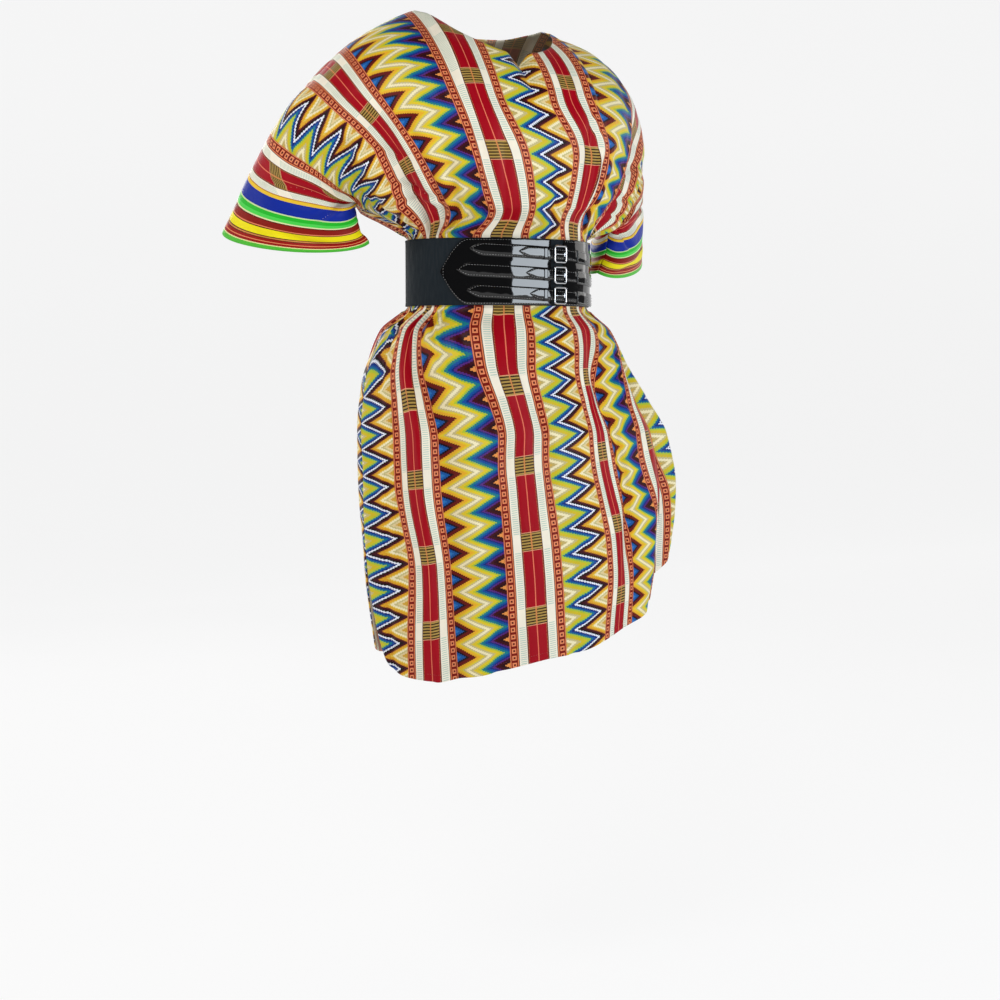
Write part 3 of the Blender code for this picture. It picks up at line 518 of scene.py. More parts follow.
def top_point(across, half, face):
    """Upper end of a column: on the neckline, or on the shoulder and overarm seam."""
    if across >= NECK_HALF:
        share = (across - NECK_HALF) / (CUFF_ACROSS - NECK_HALF)
        point = Vector(smooth_row(OVERARM_ROWS, share))
    else:
        out = math.sqrt(1.0 - (across / NECK_HALF) ** 2)
        depth, drop = (NECK_FRONT, NECK_FRONT_DROP) if face == FRONT else (NECK_BACK, NECK_BACK_DROP)
        shoulder = OVERARM[0]
        point = Vector((
            across, shoulder.y + face * depth * out, shoulder.z - drop * out ** NECK_CURVE
        ))
        if face == FRONT:
            point.z -= NOTCH_DROP * max(0.0, 1.0 - across / NOTCH_HALF)
    slope = min(1.0, across / NECK_HALF) * (1.0 - ease(across, NECK_HALF, TILT_END))
    point.z -= half * NECK_TILT * slope
    point.z -= left_drop(across, half, LEFT_OVERARM_DROP)
    return mirrored(point, half)


def left_drop(across, half, drop):
    return drop * ease(across, NECK_HALF, CUFF_ACROSS) if half > 0 else 0.0


def waist_share(across, gathered):
    """Share of the quarter girth from the centre line, with the sides gathered."""
    def width(value):
        flat = min(value, FLAT_CENTRE)
        return flat + (value - flat) * (1.0 + (GATHERED_DENSITY - 1.0) * gathered)
    return width(across) / width(SIDE_ACROSS)


def quarter_angle(share, half_width, half_depth):
    """Angle from the centre line whose arc is this share of the quarter ellipse."""
    count = 24
    lengths = [0.0]
    for step in range(count):
        middle = (step + 0.5) * math.pi / 2 / count
        reach = math.hypot(half_width * math.cos(middle), half_depth * math.sin(middle))
        lengths.append(lengths[-1] + reach)
    wanted = share * lengths[-1]
    k = next((n for n in range(count) if lengths[n + 1] >= wanted), count - 1)
    part = (wanted - lengths[k]) / (lengths[k + 1] - lengths[k])
    return (k + part) * math.pi / 2 / count


def ring_point(across, half, face, z):
    """Point of the body of the dress at a height, by distance from the centre line."""
    width, front, back, centre_x, centre_y, turn = smooth_row(RING_ROWS, -z)
    depth = front if face == FRONT else back
    below = ease(-z, -RINGS[2].z, -RINGS[2].z + GATHER_FADE)
    above = ease(-z, -RINGS[0].z, -RINGS[1].z)
    angle = half * quarter_angle(waist_share(across, above * (1.0 - below)), width, depth)
    slack = math.cos(angle)
    return Vector((
        centre_x + width * math.sin(angle) + turn * slack,
        centre_y + face * depth * slack,
        z,
    ))


def column_points(signed_across, rows, face):
    """Points down one column of cloth before its folds, for the rows that it has."""
    half = -1.0 if signed_across < 0 else 1.0
    across = abs(signed_across)
    top = top_point(across, half, face)
    if across <= SIDE_ACROSS:
        low = ring_point(across, half, face, RINGS[0].z)
    else:
        low = mirrored(smooth_row(UNDERARM, across), half)
        low.x += RINGS[0].centre_x
    low.z -= left_drop(across, half, LEFT_UNDERARM_DROP)
    row = smooth_row(FRONT_COLUMNS if face == FRONT else BACK_COLUMNS, across)
    middle = mirrored(row[:3], half)
    middle.z -= left_drop(across, half, (LEFT_OVERARM_DROP + LEFT_UNDERARM_DROP) / 2.0)
    bulge = middle - (top + low) / 2.0
    if face == FRONT and half > 0:
        bulge *= 1.0 - (1.0 - LEFT_FULLNESS) * ease(across, TILT_END, SIDE_ACROSS)
    carry = Vector((0.0, row[3], row[4])) / 2.0
    hem = smooth_row(HEM, signed_across)[0 if face == FRONT else 1]
    points = []
    for down in rows:
        if down <= 1.0:
            points.append(hermite(top, low, carry + bulge * 4.0, carry - bulge * 4.0, down))
        elif down <= 2.0:
            z = RINGS[0].z + (RINGS[2].z - RINGS[0].z) * (down - 1.0)
            point = ring_point(across, half, face, z)
            above_belt = 1.0 - ease(-z, -RINGS[0].z, -RINGS[1].z)
            point.z -= left_drop(across, half, LEFT_UNDERARM_DROP) * above_belt
            points.append(point)
        else:
            z = RINGS[2].z + (hem - RINGS[2].z) * (down - 2.0)
            points.append(ring_point(across, half, face, z))
    return points


def length_down(down):
    """Distance down the flat cloth from the shoulder."""
    return (
        BODICE_LENGTH * min(down, 1.0)
        + WAIST_LENGTH * min(max(down - 1.0, 0.0), 1.0)
        + SKIRT_LENGTH * max(down - 2.0, 0.0)
    )


FoldLine = namedtuple("FoldLine", "x y run_x run_y reach width depth ends_on_cloth steep")


def fold_lines(folds, strength=1.0, steep=1.0):
    """Fold rows as lines on the flat cloth, ready to be measured from."""
    lines = []
    for fold in folds:
        start = length_down(fold.from_down)
        run = (fold.to_across - fold.from_across, length_down(fold.to_down) - start)
        reach = run[0] ** 2 + run[1] ** 2
        lines.append(FoldLine(
            fold.from_across, start, *run, reach, fold.width, fold.depth * strength,
            fold.to_down < HEM_DOWN, steep,
        ))
    return lines


FOLD_LINES = {
    FRONT: (fold_lines(FRONT_FOLDS), fold_lines(FRONT_CREASES, CREASE_STRENGTH, STEEP_SIDE)),
    BACK: (fold_lines(BACK_FOLDS), fold_lines(BACK_CREASES, CREASE_STRENGTH, STEEP_SIDE)),
}


def line_depth(line, across, length):
    """What one fold adds at a place on the flat cloth."""
    along = ((across - line.x) * line.run_x + (length - line.y) * line.run_y) / line.reach
    if along <= 0.0 or (along >= 1.0 and line.ends_on_cloth):
        return 0.0
    aside_x = across - line.x - line.run_x * along
    aside_y = length - line.y - line.run_y * along
    width = line.width * (line.steep if aside_x * across > 0.0 else 1.0)
    aside = (aside_x * aside_x + aside_y * aside_y) / (width * width)
    if aside > 9.0:
        return 0.0
    fade = ease(along, 0.0, FOLD_START)
    if line.ends_on_cloth:
        fade *= ease(1.0 - along, 0.0, FOLD_END)
    return line.depth * fade * math.exp(-aside)


def ripple_depth(across, down, face):
    """The gathers just above and below the belt, finer near it."""
    if down < BELT_MIDDLE_DOWN:
        away = (FLAT_ABOVE - down) * WAIST_LENGTH if down > 1.0 else (
            (FLAT_ABOVE - 1.0) * WAIST_LENGTH + (1.0 - down) * BODICE_LENGTH
        )
    else:
        away = (down - FLAT_BELOW) * SKIRT_LENGTH
    if away <= 0.0:
        return 0.0
    at_sides = ease(abs(across), FLAT_CENTRE * 0.7, FLAT_CENTRE * 1.3)
    gathered = FLAT_SHARE + (1.0 - FLAT_SHARE) * at_sides
    turn = sum(way.size * math.sin(way.waves * across + way.turn * face) for way in WANDERS)
    total = 0.0
    for ripple in RIPPLES:
        wave = math.sin(2.0 * math.pi * across / ripple.pitch + turn)
        rise = ease(away, 0.0, RIPPLE_RISE)
        total += ripple.depth * wave * rise * math.exp(-away / ripple.reach)
    return total * gathered


def cloth_depth(across, down, face):
    """All folds, creases, gathers and sway at a place, none under the belt."""
    length = length_down(down)
    main, fine = FOLD_LINES[face]
    total = sum(line_depth(line, across, length) for line in main)
    total += sum(line_depth(line, across, length) for line in fine)
    for sway in SWAYS:
        place = Vector((across / sway.across, length / sway.down, PANEL_NOISE * face))
        total += sway.depth * noise.noise(place)
    above = ease(FLAT_ABOVE - down, 0.0, FOLD_REACH[0])
    below = ease(down - FLAT_BELOW, 0.0, FOLD_REACH[1])
    return total * max(above, below) + ripple_depth(across, down, face)


def seam_distance(across, down):
    """Distance on the flat cloth to the nearest seam, or slit below the side seam."""
    away = abs(across)
    to_armpit = (1.0 - down) * BODICE_LENGTH
    near = []
    if away >= NECK_HALF:
        near.append(length_down(down))
    else:
        near.append(math.hypot(NECK_HALF - away, length_down(down)))
    if down >= 1.0:
        near.append(SIDE_ACROSS - away)
    elif away >= SIDE_ACROSS:
        near.append(to_armpit)
    else:
        near.append(math.hypot(SIDE_ACROSS - away, to_armpit))
    return min(near)


def edge_distance(across, down):
    """Distance on the flat cloth to the nearest hemmed edge: neck, cuff or hem."""
    near = [CUFF_ACROSS - abs(across), (HEM_DOWN - down) * SKIRT_LENGTH]
    if abs(across) < NECK_HALF:
        near.append(length_down(down))
    return min(near)


def grid_places():
    """Distances across and places down, one for each column and row of the cloth."""
    half = [NECK_HALF * n / NECK_COLUMNS for n in range(NECK_COLUMNS)]
    side_step = (SIDE_ACROSS - NECK_HALF) / SIDE_COLUMNS
    half += [NECK_HALF + side_step * n for n in range(SIDE_COLUMNS)]
    sleeve_step = (CUFF_ACROSS - SIDE_ACROSS) / SLEEVE_COLUMNS
    half += [SIDE_ACROSS + sleeve_step * n for n in range(SLEEVE_COLUMNS + 1)]
    columns = [-place for place in reversed(half[1:])] + half
    rows = [n / BODICE_ROWS for n in range(BODICE_ROWS)]
    rows += [1.0 + n / WAIST_ROWS for n in range(WAIST_ROWS)]
    rows += [2.0 + n / SKIRT_ROWS for n in range(SKIRT_ROWS + 1)]
    return columns, rows


COLUMNS, ROWS = grid_places()
ARMPIT_ROW = BODICE_ROWS
BELT_ROW = BODICE_ROWS + WAIST_ROWS
RIGHT_SIDE = SLEEVE_COLUMNS
LEFT_SIDE = len(COLUMNS) - 1 - SLEEVE_COLUMNS
NECK_RIGHT = RIGHT_SIDE + SIDE_COLUMNS
NECK_LEFT = LEFT_SIDE - SIDE_COLUMNS
LAST_ROW = len(ROWS) - 1
LAST_COLUMN = len(COLUMNS) - 1


def cells():
    """Cells of the T-shaped grid, by column and row."""
    for column in range(LAST_COLUMN):
        for row in range(LAST_ROW):
            if row < ARMPIT_ROW or RIGHT_SIDE <= column < LEFT_SIDE:
                yield column, row


def corners(column, row, face):
    """A cell's corners, in the order that faces outwards."""
    loop = [(column, row), (column, row + 1), (column + 1, row + 1), (column + 1, row)]
    return loop if face == FRONT else loop[::-1]


def is_seam(key):
    column, row = key
    overarm = row == 0 and (column <= NECK_RIGHT or column >= NECK_LEFT)
    underarm = row == ARMPIT_ROW and (column <= RIGHT_SIDE or column >= LEFT_SIDE)
    side = row >= ARMPIT_ROW and column in (RIGHT_SIDE, LEFT_SIDE)
    return overarm or underarm or side


def normals_of(points, face):
    """Outward normal at each grid point, and the mean direction into the panel."""
    normals = {key: Vector((0.0, 0.0, 0.0)) for key in points}
    inward = {key: Vector((0.0, 0.0, 0.0)) for key in points}
    for column, row in cells():
        loop = corners(column, row, face)
        a, b, c, d = (points[key] for key in loop)
        normal = (c - a).cross(d - b)
        middle = (a + b + c + d) / 4.0
        for key in loop:
            normals[key] += normal
            inward[key] += (middle - points[key]).normalized()
    return normals, inward


def strip_knots(down):
    """Places across the front with the print's own place at each, at one level."""
    right_side, *edges, left_side = smooth_row(LAYS, down)
    start = CENTRE_BAND / 2000.0
    steps = (start, start + STRIPE_GROUP / 1000.0)
    steps += tuple(step + (STRIPE_GROUP + WIDE_BAND) / 1000.0 for step in steps)
    steps = [-step for step in reversed(steps)] + list(steps)
    return [(-SIDE_ACROSS, right_side), *zip(edges, steps), (SIDE_ACROSS, left_side)]


def print_across(across, knots):
    """The print's place across at a place on the front, its sleeves fading to true."""
    if abs(across) <= SIDE_ACROSS:
        return smooth_row(knots, across)[0]
    side, place = knots[0] if across < 0 else knots[-1]
    return across + (place - side) * (1.0 - ease(abs(across), SIDE_ACROSS, CUFF_ACROSS))


def sleeve_slant(across, down):
    """How far the sleeve's print runs ahead, faded out in the body below the armpit."""
    out = abs(across) - SLANT_START
    rise = (out + math.hypot(out, SLANT_SOFTNESS)) / 2.0
    on_sleeve = ease(abs(across), *SLEEVE_BLEND) * (1.0 - ease(down, 1.0, SLANT_FADE[1]))
    body = ease(down, *SLANT_FADE) * (1.0 - on_sleeve)
    return SLEEVE_SLANT * rise * (1.0 - body)


def print_lengths(line, across):
    """The print's length down one column, 0 at the belt's lower edge."""
    run = [0.0]
    for row, (one, two) in enumerate(zip(line, line[1:])):
        step = two - one
        lean = 1.0 - ease(ROWS[row], BULGE_START, BULGE_END)
        run.append(run[-1] + math.hypot(step.z, lean * math.hypot(step.x, step.y)))
    if len(run) > BELT_ROW:
        start = run[BELT_ROW]
    else:
        start = run[ARMPIT_ROW] + RINGS[0].z - RINGS[2].z
    lengths = []
    for row, length in enumerate(run):
        tilt = GRAIN_TILT * across * ease(ROWS[row], FLAT_BELOW, FLAT_BELOW + GRAIN_REACH)
        slant = sleeve_slant(across, ROWS[row])
        lengths.append(length - start + tilt - slant + GRAIN_SHIFT)
    return lengths


Panel = namedtuple("Panel", "points normals inward places")


def shaped_panels():
    """Outer points, wall directions and print lengths of both panels."""
    points, places = {}, {}
    knots = [strip_knots(down) for down in ROWS]
    for face in (FRONT, BACK):
        points[face], places[face] = {}, {}
        for column, across in enumerate(COLUMNS):
            last = LAST_ROW if RIGHT_SIDE <= column <= LEFT_SIDE else ARMPIT_ROW
            line = column_points(across, ROWS[:last + 1], face)
            lengths = print_lengths(line, across)
            for row, point in enumerate(line):
                points[face][(column, row)] = point
                strip = print_across(across, knots[row]) if face == FRONT else across
                places[face][(column, row)] = (strip, lengths[row])
    fold_all(points)
    panels = {}
    normals, inward = shared_normals(points)
    for face in (FRONT, BACK):
        for key, point in points[face].items():
            normal = normals[face][key].normalized()
            normals[face][key] = normal
            into = inward[face][key]
            into -= normal * into.dot(normal)
            inward[face][key] = into.normalized()
            if is_seam(key):
                points[face][key] = point + inward[face][key] * SEAM_PART
        panels[face] = Panel(points[face], normals[face], inward[face], places[face])
    return panels


def shared_normals(points):
    """Normals of both panels, the same on each side of a seam."""
    normals, inward = {}, {}
    for face in (FRONT, BACK):
        normals[face], inward[face] = normals_of(points[face], face)
    for key in points[FRONT]:
        if is_seam(key):
            shared = normals[FRONT][key] + normals[BACK][key]
            normals[FRONT][key] = shared
            normals[BACK][key] = shared.copy()
    return normals, inward


def fold_all(points):
    """Moves the points of both panels in and out by their folds."""
    normals, _ = shared_normals(points)
    for key in points[FRONT]:
        across, down = COLUMNS[key[0]], ROWS[key[1]]
        depths = {face: cloth_depth(across, down, face) for face in (FRONT, BACK)}
        shared = (depths[FRONT] + depths[BACK]) / 2.0
        away = seam_distance(across, down)
        own = ease(away, 0.0, SEAM_BLEND)
        seam = SEAM_TROUGH * math.exp(-((away / SEAM_WIDTH) ** 2))
        under_belt = 1.0 if down < FLAT_ABOVE or down > FLAT_BELOW else 0.0
        off_stitches = edge_distance(across, down) - HEM_WIDTH
        stitched = math.exp(-((off_stitches / STITCH_WIDTH) ** 2))
        for face in (FRONT, BACK):
            depth = shared + (depths[face] - shared) * own
            depth -= (seam + STITCH_TROUGH * stitched) * under_belt
            points[face][key] += normals[face][key].normalized() * depth


def cloth_piece(name, panel, face, finishes):
    """One panel of cloth: outer face, inner face, and a rounded rim at its edges."""
    keys = sorted(panel.points)
    index = {key: n for n, key in enumerate(keys)}
    count = len(keys)
    outer, inner, rim = [], [], []
    for key in keys:
        across, down = COLUMNS[key[0]], ROWS[key[1]]
        edge = edge_distance(across, down)
        double = 1.0 - ease(edge, HEM_WIDTH - HEM_STEP, HEM_WIDTH + HEM_STEP)
        wall = CLOTH + (HEMMED_CLOTH - CLOTH) * double
        point, normal = panel.points[key], panel.normals[key]
        roll = 0.0 if is_seam(key) else EDGE_ROLL * wall
        outer.append(point)
        inner.append(point - normal * wall)
        rim.append(point - normal * wall / 2.0 - panel.inward[key] * roll)
    faces, slots, edges = [], [], {}
    for column, row in cells():
        loop = corners(column, row, face)
        faces.append([index[key] for key in loop])
        slots.append(0)
        faces.append([index[key] + count for key in reversed(loop)])
        slots.append(1)
        for pair in zip(loop, loop[1:] + loop[:1]):
            if pair[::-1] in edges:
                del edges[pair[::-1]]
            else:
                edges[pair] = True
    on_rim = {}
    rim_points = []
    for pair in edges:
        for key in pair:
            if key not in on_rim:
                on_rim[key] = 2 * count + len(rim_points)
                rim_points.append(rim[index[key]])
    for start, end in edges:
        faces.append([index[end], index[start], on_rim[start], on_rim[end]])
        faces.append([on_rim[end], on_rim[start], index[start] + count, index[end] + count])
        slots += [0, 0]
    mesh = bpy.data.meshes.new(name)
    mesh.from_pydata(outer + inner + rim_points, [], faces)
    mesh.polygons.foreach_set("material_index", slots)
    flat = [panel.places[key] for key in keys]
    flat += flat + [flat[index[key]] for key in on_rim]
    layer = mesh.uv_layers.new(name="flat_cloth")
    places = [value for loop in mesh.loops for value in flat[loop.vertex_index]]
    layer.data.foreach_set("uv", places)
    mesh.polygons.foreach_set("use_smooth", [True] * len(mesh.polygons))
    piece = bpy.data.objects.new(name, mesh)
    bpy.context.scene.collection.objects.link(piece)
    for finish in finishes:
        mesh.materials.append(finish)
    return piece


def polyline_places(path, pitch):
    """Evenly spaced places along a path of (point, normal), with the direction there."""
    places = []
    travelled, due = 0.0, pitch / 2.0
    for (start, start_normal), (end, end_normal) in zip(path, path[1:]):
        step = (end - start).length
        while due <= travelled + step and step > 0.0:
            share = (due - travelled) / step
            normal = start_normal.lerp(end_normal, share).normalized()
            places.append((start.lerp(end, share), (end - start).normalized(), normal))
            due += pitch
        travelled += step
    return places


def stitch_row(name, paths, length, pitch, thread, finish):
    """A row of short thread stitches that lie along each path, as one mesh."""
    points, faces = [], []
    for path in paths:
        for place, along, normal in polyline_places(path, pitch):
            side = normal.cross(along).normalized() * thread
            first = len(points)
            tip = along * length / 2.0
            points += [
                place - tip - normal * thread * STITCH_ENDS,
                place + tip - normal * thread * STITCH_ENDS,
                place + side,
                place + normal * thread,
                place - side,
                place - normal * thread * STITCH_UNDER,
            ]
            for k in range(4):
                one, two = first + 2 + k, first + 2 + (k + 1) % 4
                faces += [(first, two, one), (first + 1, one, two)]
    mesh = bpy.data.meshes.new(name)
    mesh.from_pydata(points, [], faces)
    mesh.materials.append(finish)
    mesh.shade_smooth()
    piece = bpy.data.objects.new(name, mesh)
    bpy.context.scene.collection.objects.link(piece)
    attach(piece, "root")
    return piece


# Belt


def belt_point(angle_degrees, z, lift):
    """Point at a height on the belt, at an angle from centre front, lifted off it."""
    angle = math.radians(angle_degrees)
    outward = Vector((
        math.sin(angle) / BELT_HALF_WIDTH, -math.cos(angle) / BELT_HALF_DEPTH, 0.0
    )).normalized()
    surface = Vector((
        BELT_CENTRE_X + BELT_HALF_WIDTH * math.sin(angle),
        BELT_CENTRE_Y - BELT_HALF_DEPTH * math.cos(angle),
        z,
    ))
    return surface + outward * lift


def run_table():
    """Distance along the belt from centre front at each degree."""
    runs = [0.0]
    for degree in range(180):
        one = belt_point(degree, 0.0, 0.0)
        two = belt_point(degree + 1, 0.0, 0.0)
        runs.append(runs[-1] + (two - one).length)
    return runs


RUNS = run_table()
HALF_GIRTH = RUNS[-1]


def run_at(angle):
    whole = min(179, int(abs(angle)))
    run = RUNS[whole] + (RUNS[whole + 1] - RUNS[whole]) * (abs(angle) - whole)
    return math.copysign(run, angle)


def angle_at(run):
    wanted = min(abs(run), HALF_GIRTH)
    whole = next(n for n in range(180) if RUNS[n + 1] >= wanted)
    part = (wanted - RUNS[whole]) / (RUNS[whole + 1] - RUNS[whole])
    return math.copysign(whole + part, run)


PANEL_EDGE = 0.0006
PANEL_LIFT = LAYER_GAP
STRAP_LIFT = PANEL_LIFT + PATENT + LAYER_GAP
BILLET_LIFT = STRAP_LIFT + PATENT + LAYER_GAP
TOP_LIFT = BILLET_LIFT + PATENT + LAYER_GAP
StrapRow = namedtuple("StrapRow", "name tip_angle tip_z billet_angle")
STRAP_ROWS = (
    StrapRow("upper", -38.0, -0.3600, -8.7),
    StrapRow("middle", -46.4, -0.3905, -4.3),
    StrapRow("lower", -39.9, -0.4220, -1.8),
)
RIGHT_PANEL = (-58.0, -38.5, 12.5)  # tip, shoulder and end, in degrees
LEFT_PANEL = (97.0, 80.0, 22.5)
STRAP_POINT = 9.0
BILLET_POINT = 6.0
BILLET_HALF = 0.0080
BILLET_END = 33.0
BASE_START = 35.0
BASE_END = 66.0
KEEPER_ANGLE = 8.0
KEEPER_HALF_ANGLE = 1.2
KEEPER_RISE = 0.0012
STRAP_END = 11.5
STITCH_INSET = 0.0022
STRIP_CELL = 0.003
PATH_CELL = 0.002
ELASTIC_WALL = ELASTIC * 0.7
ELASTIC_DIP = 0.0005  # how far the elastic lies below its edge cords
EDGE_CORD = (0.0022, 0.0045)

BILLET_INSET = STITCH_INSET * 0.8
THREAD_RISE = 0.0006
BILLET_THREAD_RISE = 0.0004
KEEPER_CROWN = 0.0009

# Strips of one row: tip, point's length and end in degrees, with each row's own tip for
# the strap and the billet
StrapCut = namedtuple("StrapCut", "node name tip point end half thickness rows edge lift crown power")
STRAP_CUTS = (
    StrapCut(
        "strap", "sewn_strap", None, STRAP_POINT, STRAP_END, STRAP_HALF,
        PATENT, 8, 0.0005, STRAP_LIFT, 0.0005, 2.0,
    ),
    StrapCut(
        "billet", "buckled_strap", None, BILLET_POINT, BILLET_END, BILLET_HALF,
        PATENT, 8, 0.0004, BILLET_LIFT, 0.0005, 2.0,
    ),
    StrapCut(
        "keeper", "keeper_loop", KEEPER_ANGLE - KEEPER_HALF_ANGLE, 0.0,
        KEEPER_ANGLE + KEEPER_HALF_ANGLE, STRAP_HALF,
        KEEPER_RISE, 12, 0.0004, TOP_LIFT - KEEPER_CROWN, KEEPER_CROWN, 6.0,
    ),
    StrapCut(
        "strap_base", "sewn_base", BASE_START, 0.0, BASE_END, STRAP_HALF,
        PATENT, 8, 0.0005, STRAP_LIFT, 0.0004, 2.0,
    ),
)

Strip = namedtuple("Strip", "tip shoulder end half middle")


def strip_half(strip, run):
    """Half the height of a strip here: a rounded point at its tip, then full."""
    if strip.shoulder == strip.tip:
        return strip.half
    share = min(1.0, max(0.0, (run - strip.tip) / (strip.shoulder - strip.tip)))
    return TIP_HALF + (strip.half - TIP_HALF) * math.sin(share * math.pi / 2.0)


def deselect():
    if bpy.context.object and bpy.context.object.mode != "OBJECT":
        bpy.ops.object.mode_set(mode="OBJECT")
    bpy.ops.object.select_all(action="DESELECT")


def apply_modifier(piece, kind, **settings):
    """Adds one modifier to the piece and applies it."""
    modifier = piece.modifiers.new(kind.title(), kind)
    for name, value in settings.items():
        setattr(modifier, name, value)
    bpy.context.view_layer.objects.active = piece
    bpy.ops.object.modifier_apply(modifier=modifier.name)


def soft_edges(piece, width, segments, angle):
    """Bevels the edges that turn by more than an angle in degrees."""
    limit = math.radians(angle)
    apply_modifier(
        piece, "BEVEL", width=width, segments=segments, limit_method="ANGLE", angle_limit=limit
    )


def flat_strip(name, strip, thickness, rows, edge, finish):
    """A strip cut from sheet, flat in the XZ plane with its face to -Y and soft edges."""
    deselect()
    columns = max(4, round(abs(strip.end - strip.tip) / STRIP_CELL))
    bpy.ops.mesh.primitive_grid_add(x_subdivisions=columns, y_subdivisions=rows, size=1.0)
    piece = bpy.context.object
    piece.name = name
    piece.data.name = name
    for vertex in piece.data.vertices:
        run = strip.tip + (strip.end - strip.tip) * (vertex.co.x + 0.5)
        rise = vertex.co.y * 2.0 * strip_half(strip, run)
        vertex.co = (run, 0.0, strip.middle(run) + rise)
    apply_modifier(piece, "SOLIDIFY", thickness=thickness, offset=0.0)
    for vertex in piece.data.vertices:
        vertex.co.y = -thickness if vertex.co.y < 0.0 else 0.0
    recalculate(piece)
    soft_edges(piece, edge, 3, 50.0)
    piece.data.materials.append(finish)
    return piece


def recalculate(piece):
    """Turns the faces of a closed piece outwards."""
    deselect()
    piece.select_set(True)
    bpy.context.view_layer.objects.active = piece
    bpy.ops.object.mode_set(mode="EDIT")
    bpy.ops.mesh.select_all(action="SELECT")
    bpy.ops.mesh.remove_doubles(threshold=0.00001)
    bpy.ops.mesh.normals_make_consistent(inside=False)
    bpy.ops.object.mode_set(mode="OBJECT")


def wrapped(piece, lift, crown=0.0, strip=None, thickness=1.0, power=2.0):
    """Bends a flat piece round the belt, its face crowned between its long edges."""
    for vertex in piece.data.vertices:
        run, out, z = vertex.co.x, -vertex.co.y, vertex.co.z
        if crown:
            half = max(strip_half(strip, run), 0.002)
            aside = min(1.0, abs(z - strip.middle(run)) / half)
            out += crown * (1.0 - aside ** power) * max(0.0, out / thickness)
        vertex.co = belt_point(angle_at(run), z, lift + out)
    piece.data.update()
    finish_smooth(piece)
    return piece


def finish_smooth(piece, angle=38.0):
    deselect()
    piece.select_set(True)
    bpy.context.view_layer.objects.active = piece
    bpy.ops.object.shade_smooth_by_angle(angle=math.radians(angle))
    deselect()


def outline_path(strip, inset, lift):
    """Path of a stitch line inside a strip's edge, on the belt."""
    turn = 1.0 if strip.end > strip.tip else -1.0
    start = strip.tip + turn * inset * (1.0 if strip.shoulder == strip.tip else 2.2)
    end = strip.end - turn * inset
    count = max(6, round(abs(end - start) / PATH_CELL))
    upper, lower = [], []
    for n in range(count + 1):
        run = start + (end - start) * n / count
        half = max(0.0003, strip_half(strip, run) - inset)
        upper.append((run, strip.middle(run) + half))
        lower.append((run, strip.middle(run) - half))
    outline = upper[::-1] + lower
    if strip.shoulder == strip.tip:
        outline.append(outline[0])
    path = []
    for run, z in outline:
        angle = angle_at(run)
        outward = belt_point(angle, z, 1.0) - belt_point(angle, z, 0.0)
        path.append((belt_point(angle, z, lift), outward))
    return path


def level(_):
    return BELT_TOP - BELT_HEIGHT / 2.0


def strap_middle(row):
    """Height of a strap's middle line along its run."""
    tip_metre = math.radians(row.tip_angle) * (BELT_HALF_WIDTH + BELT_HALF_DEPTH) / 2.0

    def middle(run):
        metre = math.radians(angle_at(run)) * (BELT_HALF_WIDTH + BELT_HALF_DEPTH) / 2.0
        return row.tip_z + STRAP_TILT * (metre - tip_metre)
    return middle


def build_belt(finishes):
    """The elastic, the two patent panels and the three rows of straps."""
    elastic_band(finishes["elastic"])
    half = BELT_HEIGHT / 2.0 - PANEL_EDGE
    seams = []
    for name, angles in (("right", RIGHT_PANEL), ("left", LEFT_PANEL)):
        tip, shoulder, end = (run_at(angle) for angle in angles)
        strip = Strip(tip, shoulder, end, half, level)
        piece = flat_strip(f"patent_panel_{name}", strip, PATENT, 24, 0.0005, finishes["patent"])
        wrapped(piece, PANEL_LIFT)
        settle(piece, f"belt_panel_{name}")
        seams.append(outline_path(strip, STITCH_INSET, PANEL_LIFT + PATENT))
    for row in STRAP_ROWS:
        seams += strap_set(row, finishes)
    # These stitches are coloured pale grey as a painted highlight for glints on black thread.
    stitch_row("patent_stitching", seams, *PATENT_STITCH, finishes["thread"])


def elastic_band(finish):
    """The ribbed elastic, right round the waist, with a firmer cord at each edge."""
    deselect()
    bpy.ops.mesh.primitive_grid_add(x_subdivisions=220, y_subdivisions=30, size=1.0)
    piece = bpy.context.object
    piece.name = "ribbed_elastic"
    for vertex in piece.data.vertices:
        z = BELT_TOP - BELT_HEIGHT / 2.0 + vertex.co.y * BELT_HEIGHT
        vertex.co = (vertex.co.x * 2.0 * HALF_GIRTH, 0.0, z)
    layer = piece.data.uv_layers[0]
    for loop in piece.data.loops:
        place = piece.data.vertices[loop.vertex_index].co
        layer.data[loop.index].uv = (place.x, place.z)
    for vertex in piece.data.vertices:
        run, z = vertex.co.x, vertex.co.z
        edge = min(BELT_TOP - z, z - BELT_TOP + BELT_HEIGHT)
        vertex.co = belt_point(angle_at(run), z, -ELASTIC_DIP * ease(edge, *EDGE_CORD))
    recalculate(piece)
    apply_modifier(piece, "SOLIDIFY", thickness=ELASTIC_WALL, offset=-1.0)
    soft_edges(piece, 0.0005, 2, 60.0)
    piece.data.materials.append(finish)
    finish_smooth(piece, 50.0)
    settle(piece, "belt_elastic")


def settle(piece, node):
    """The finished piece stands for its solid and moves with it."""
    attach(piece, "root")
    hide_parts(node)


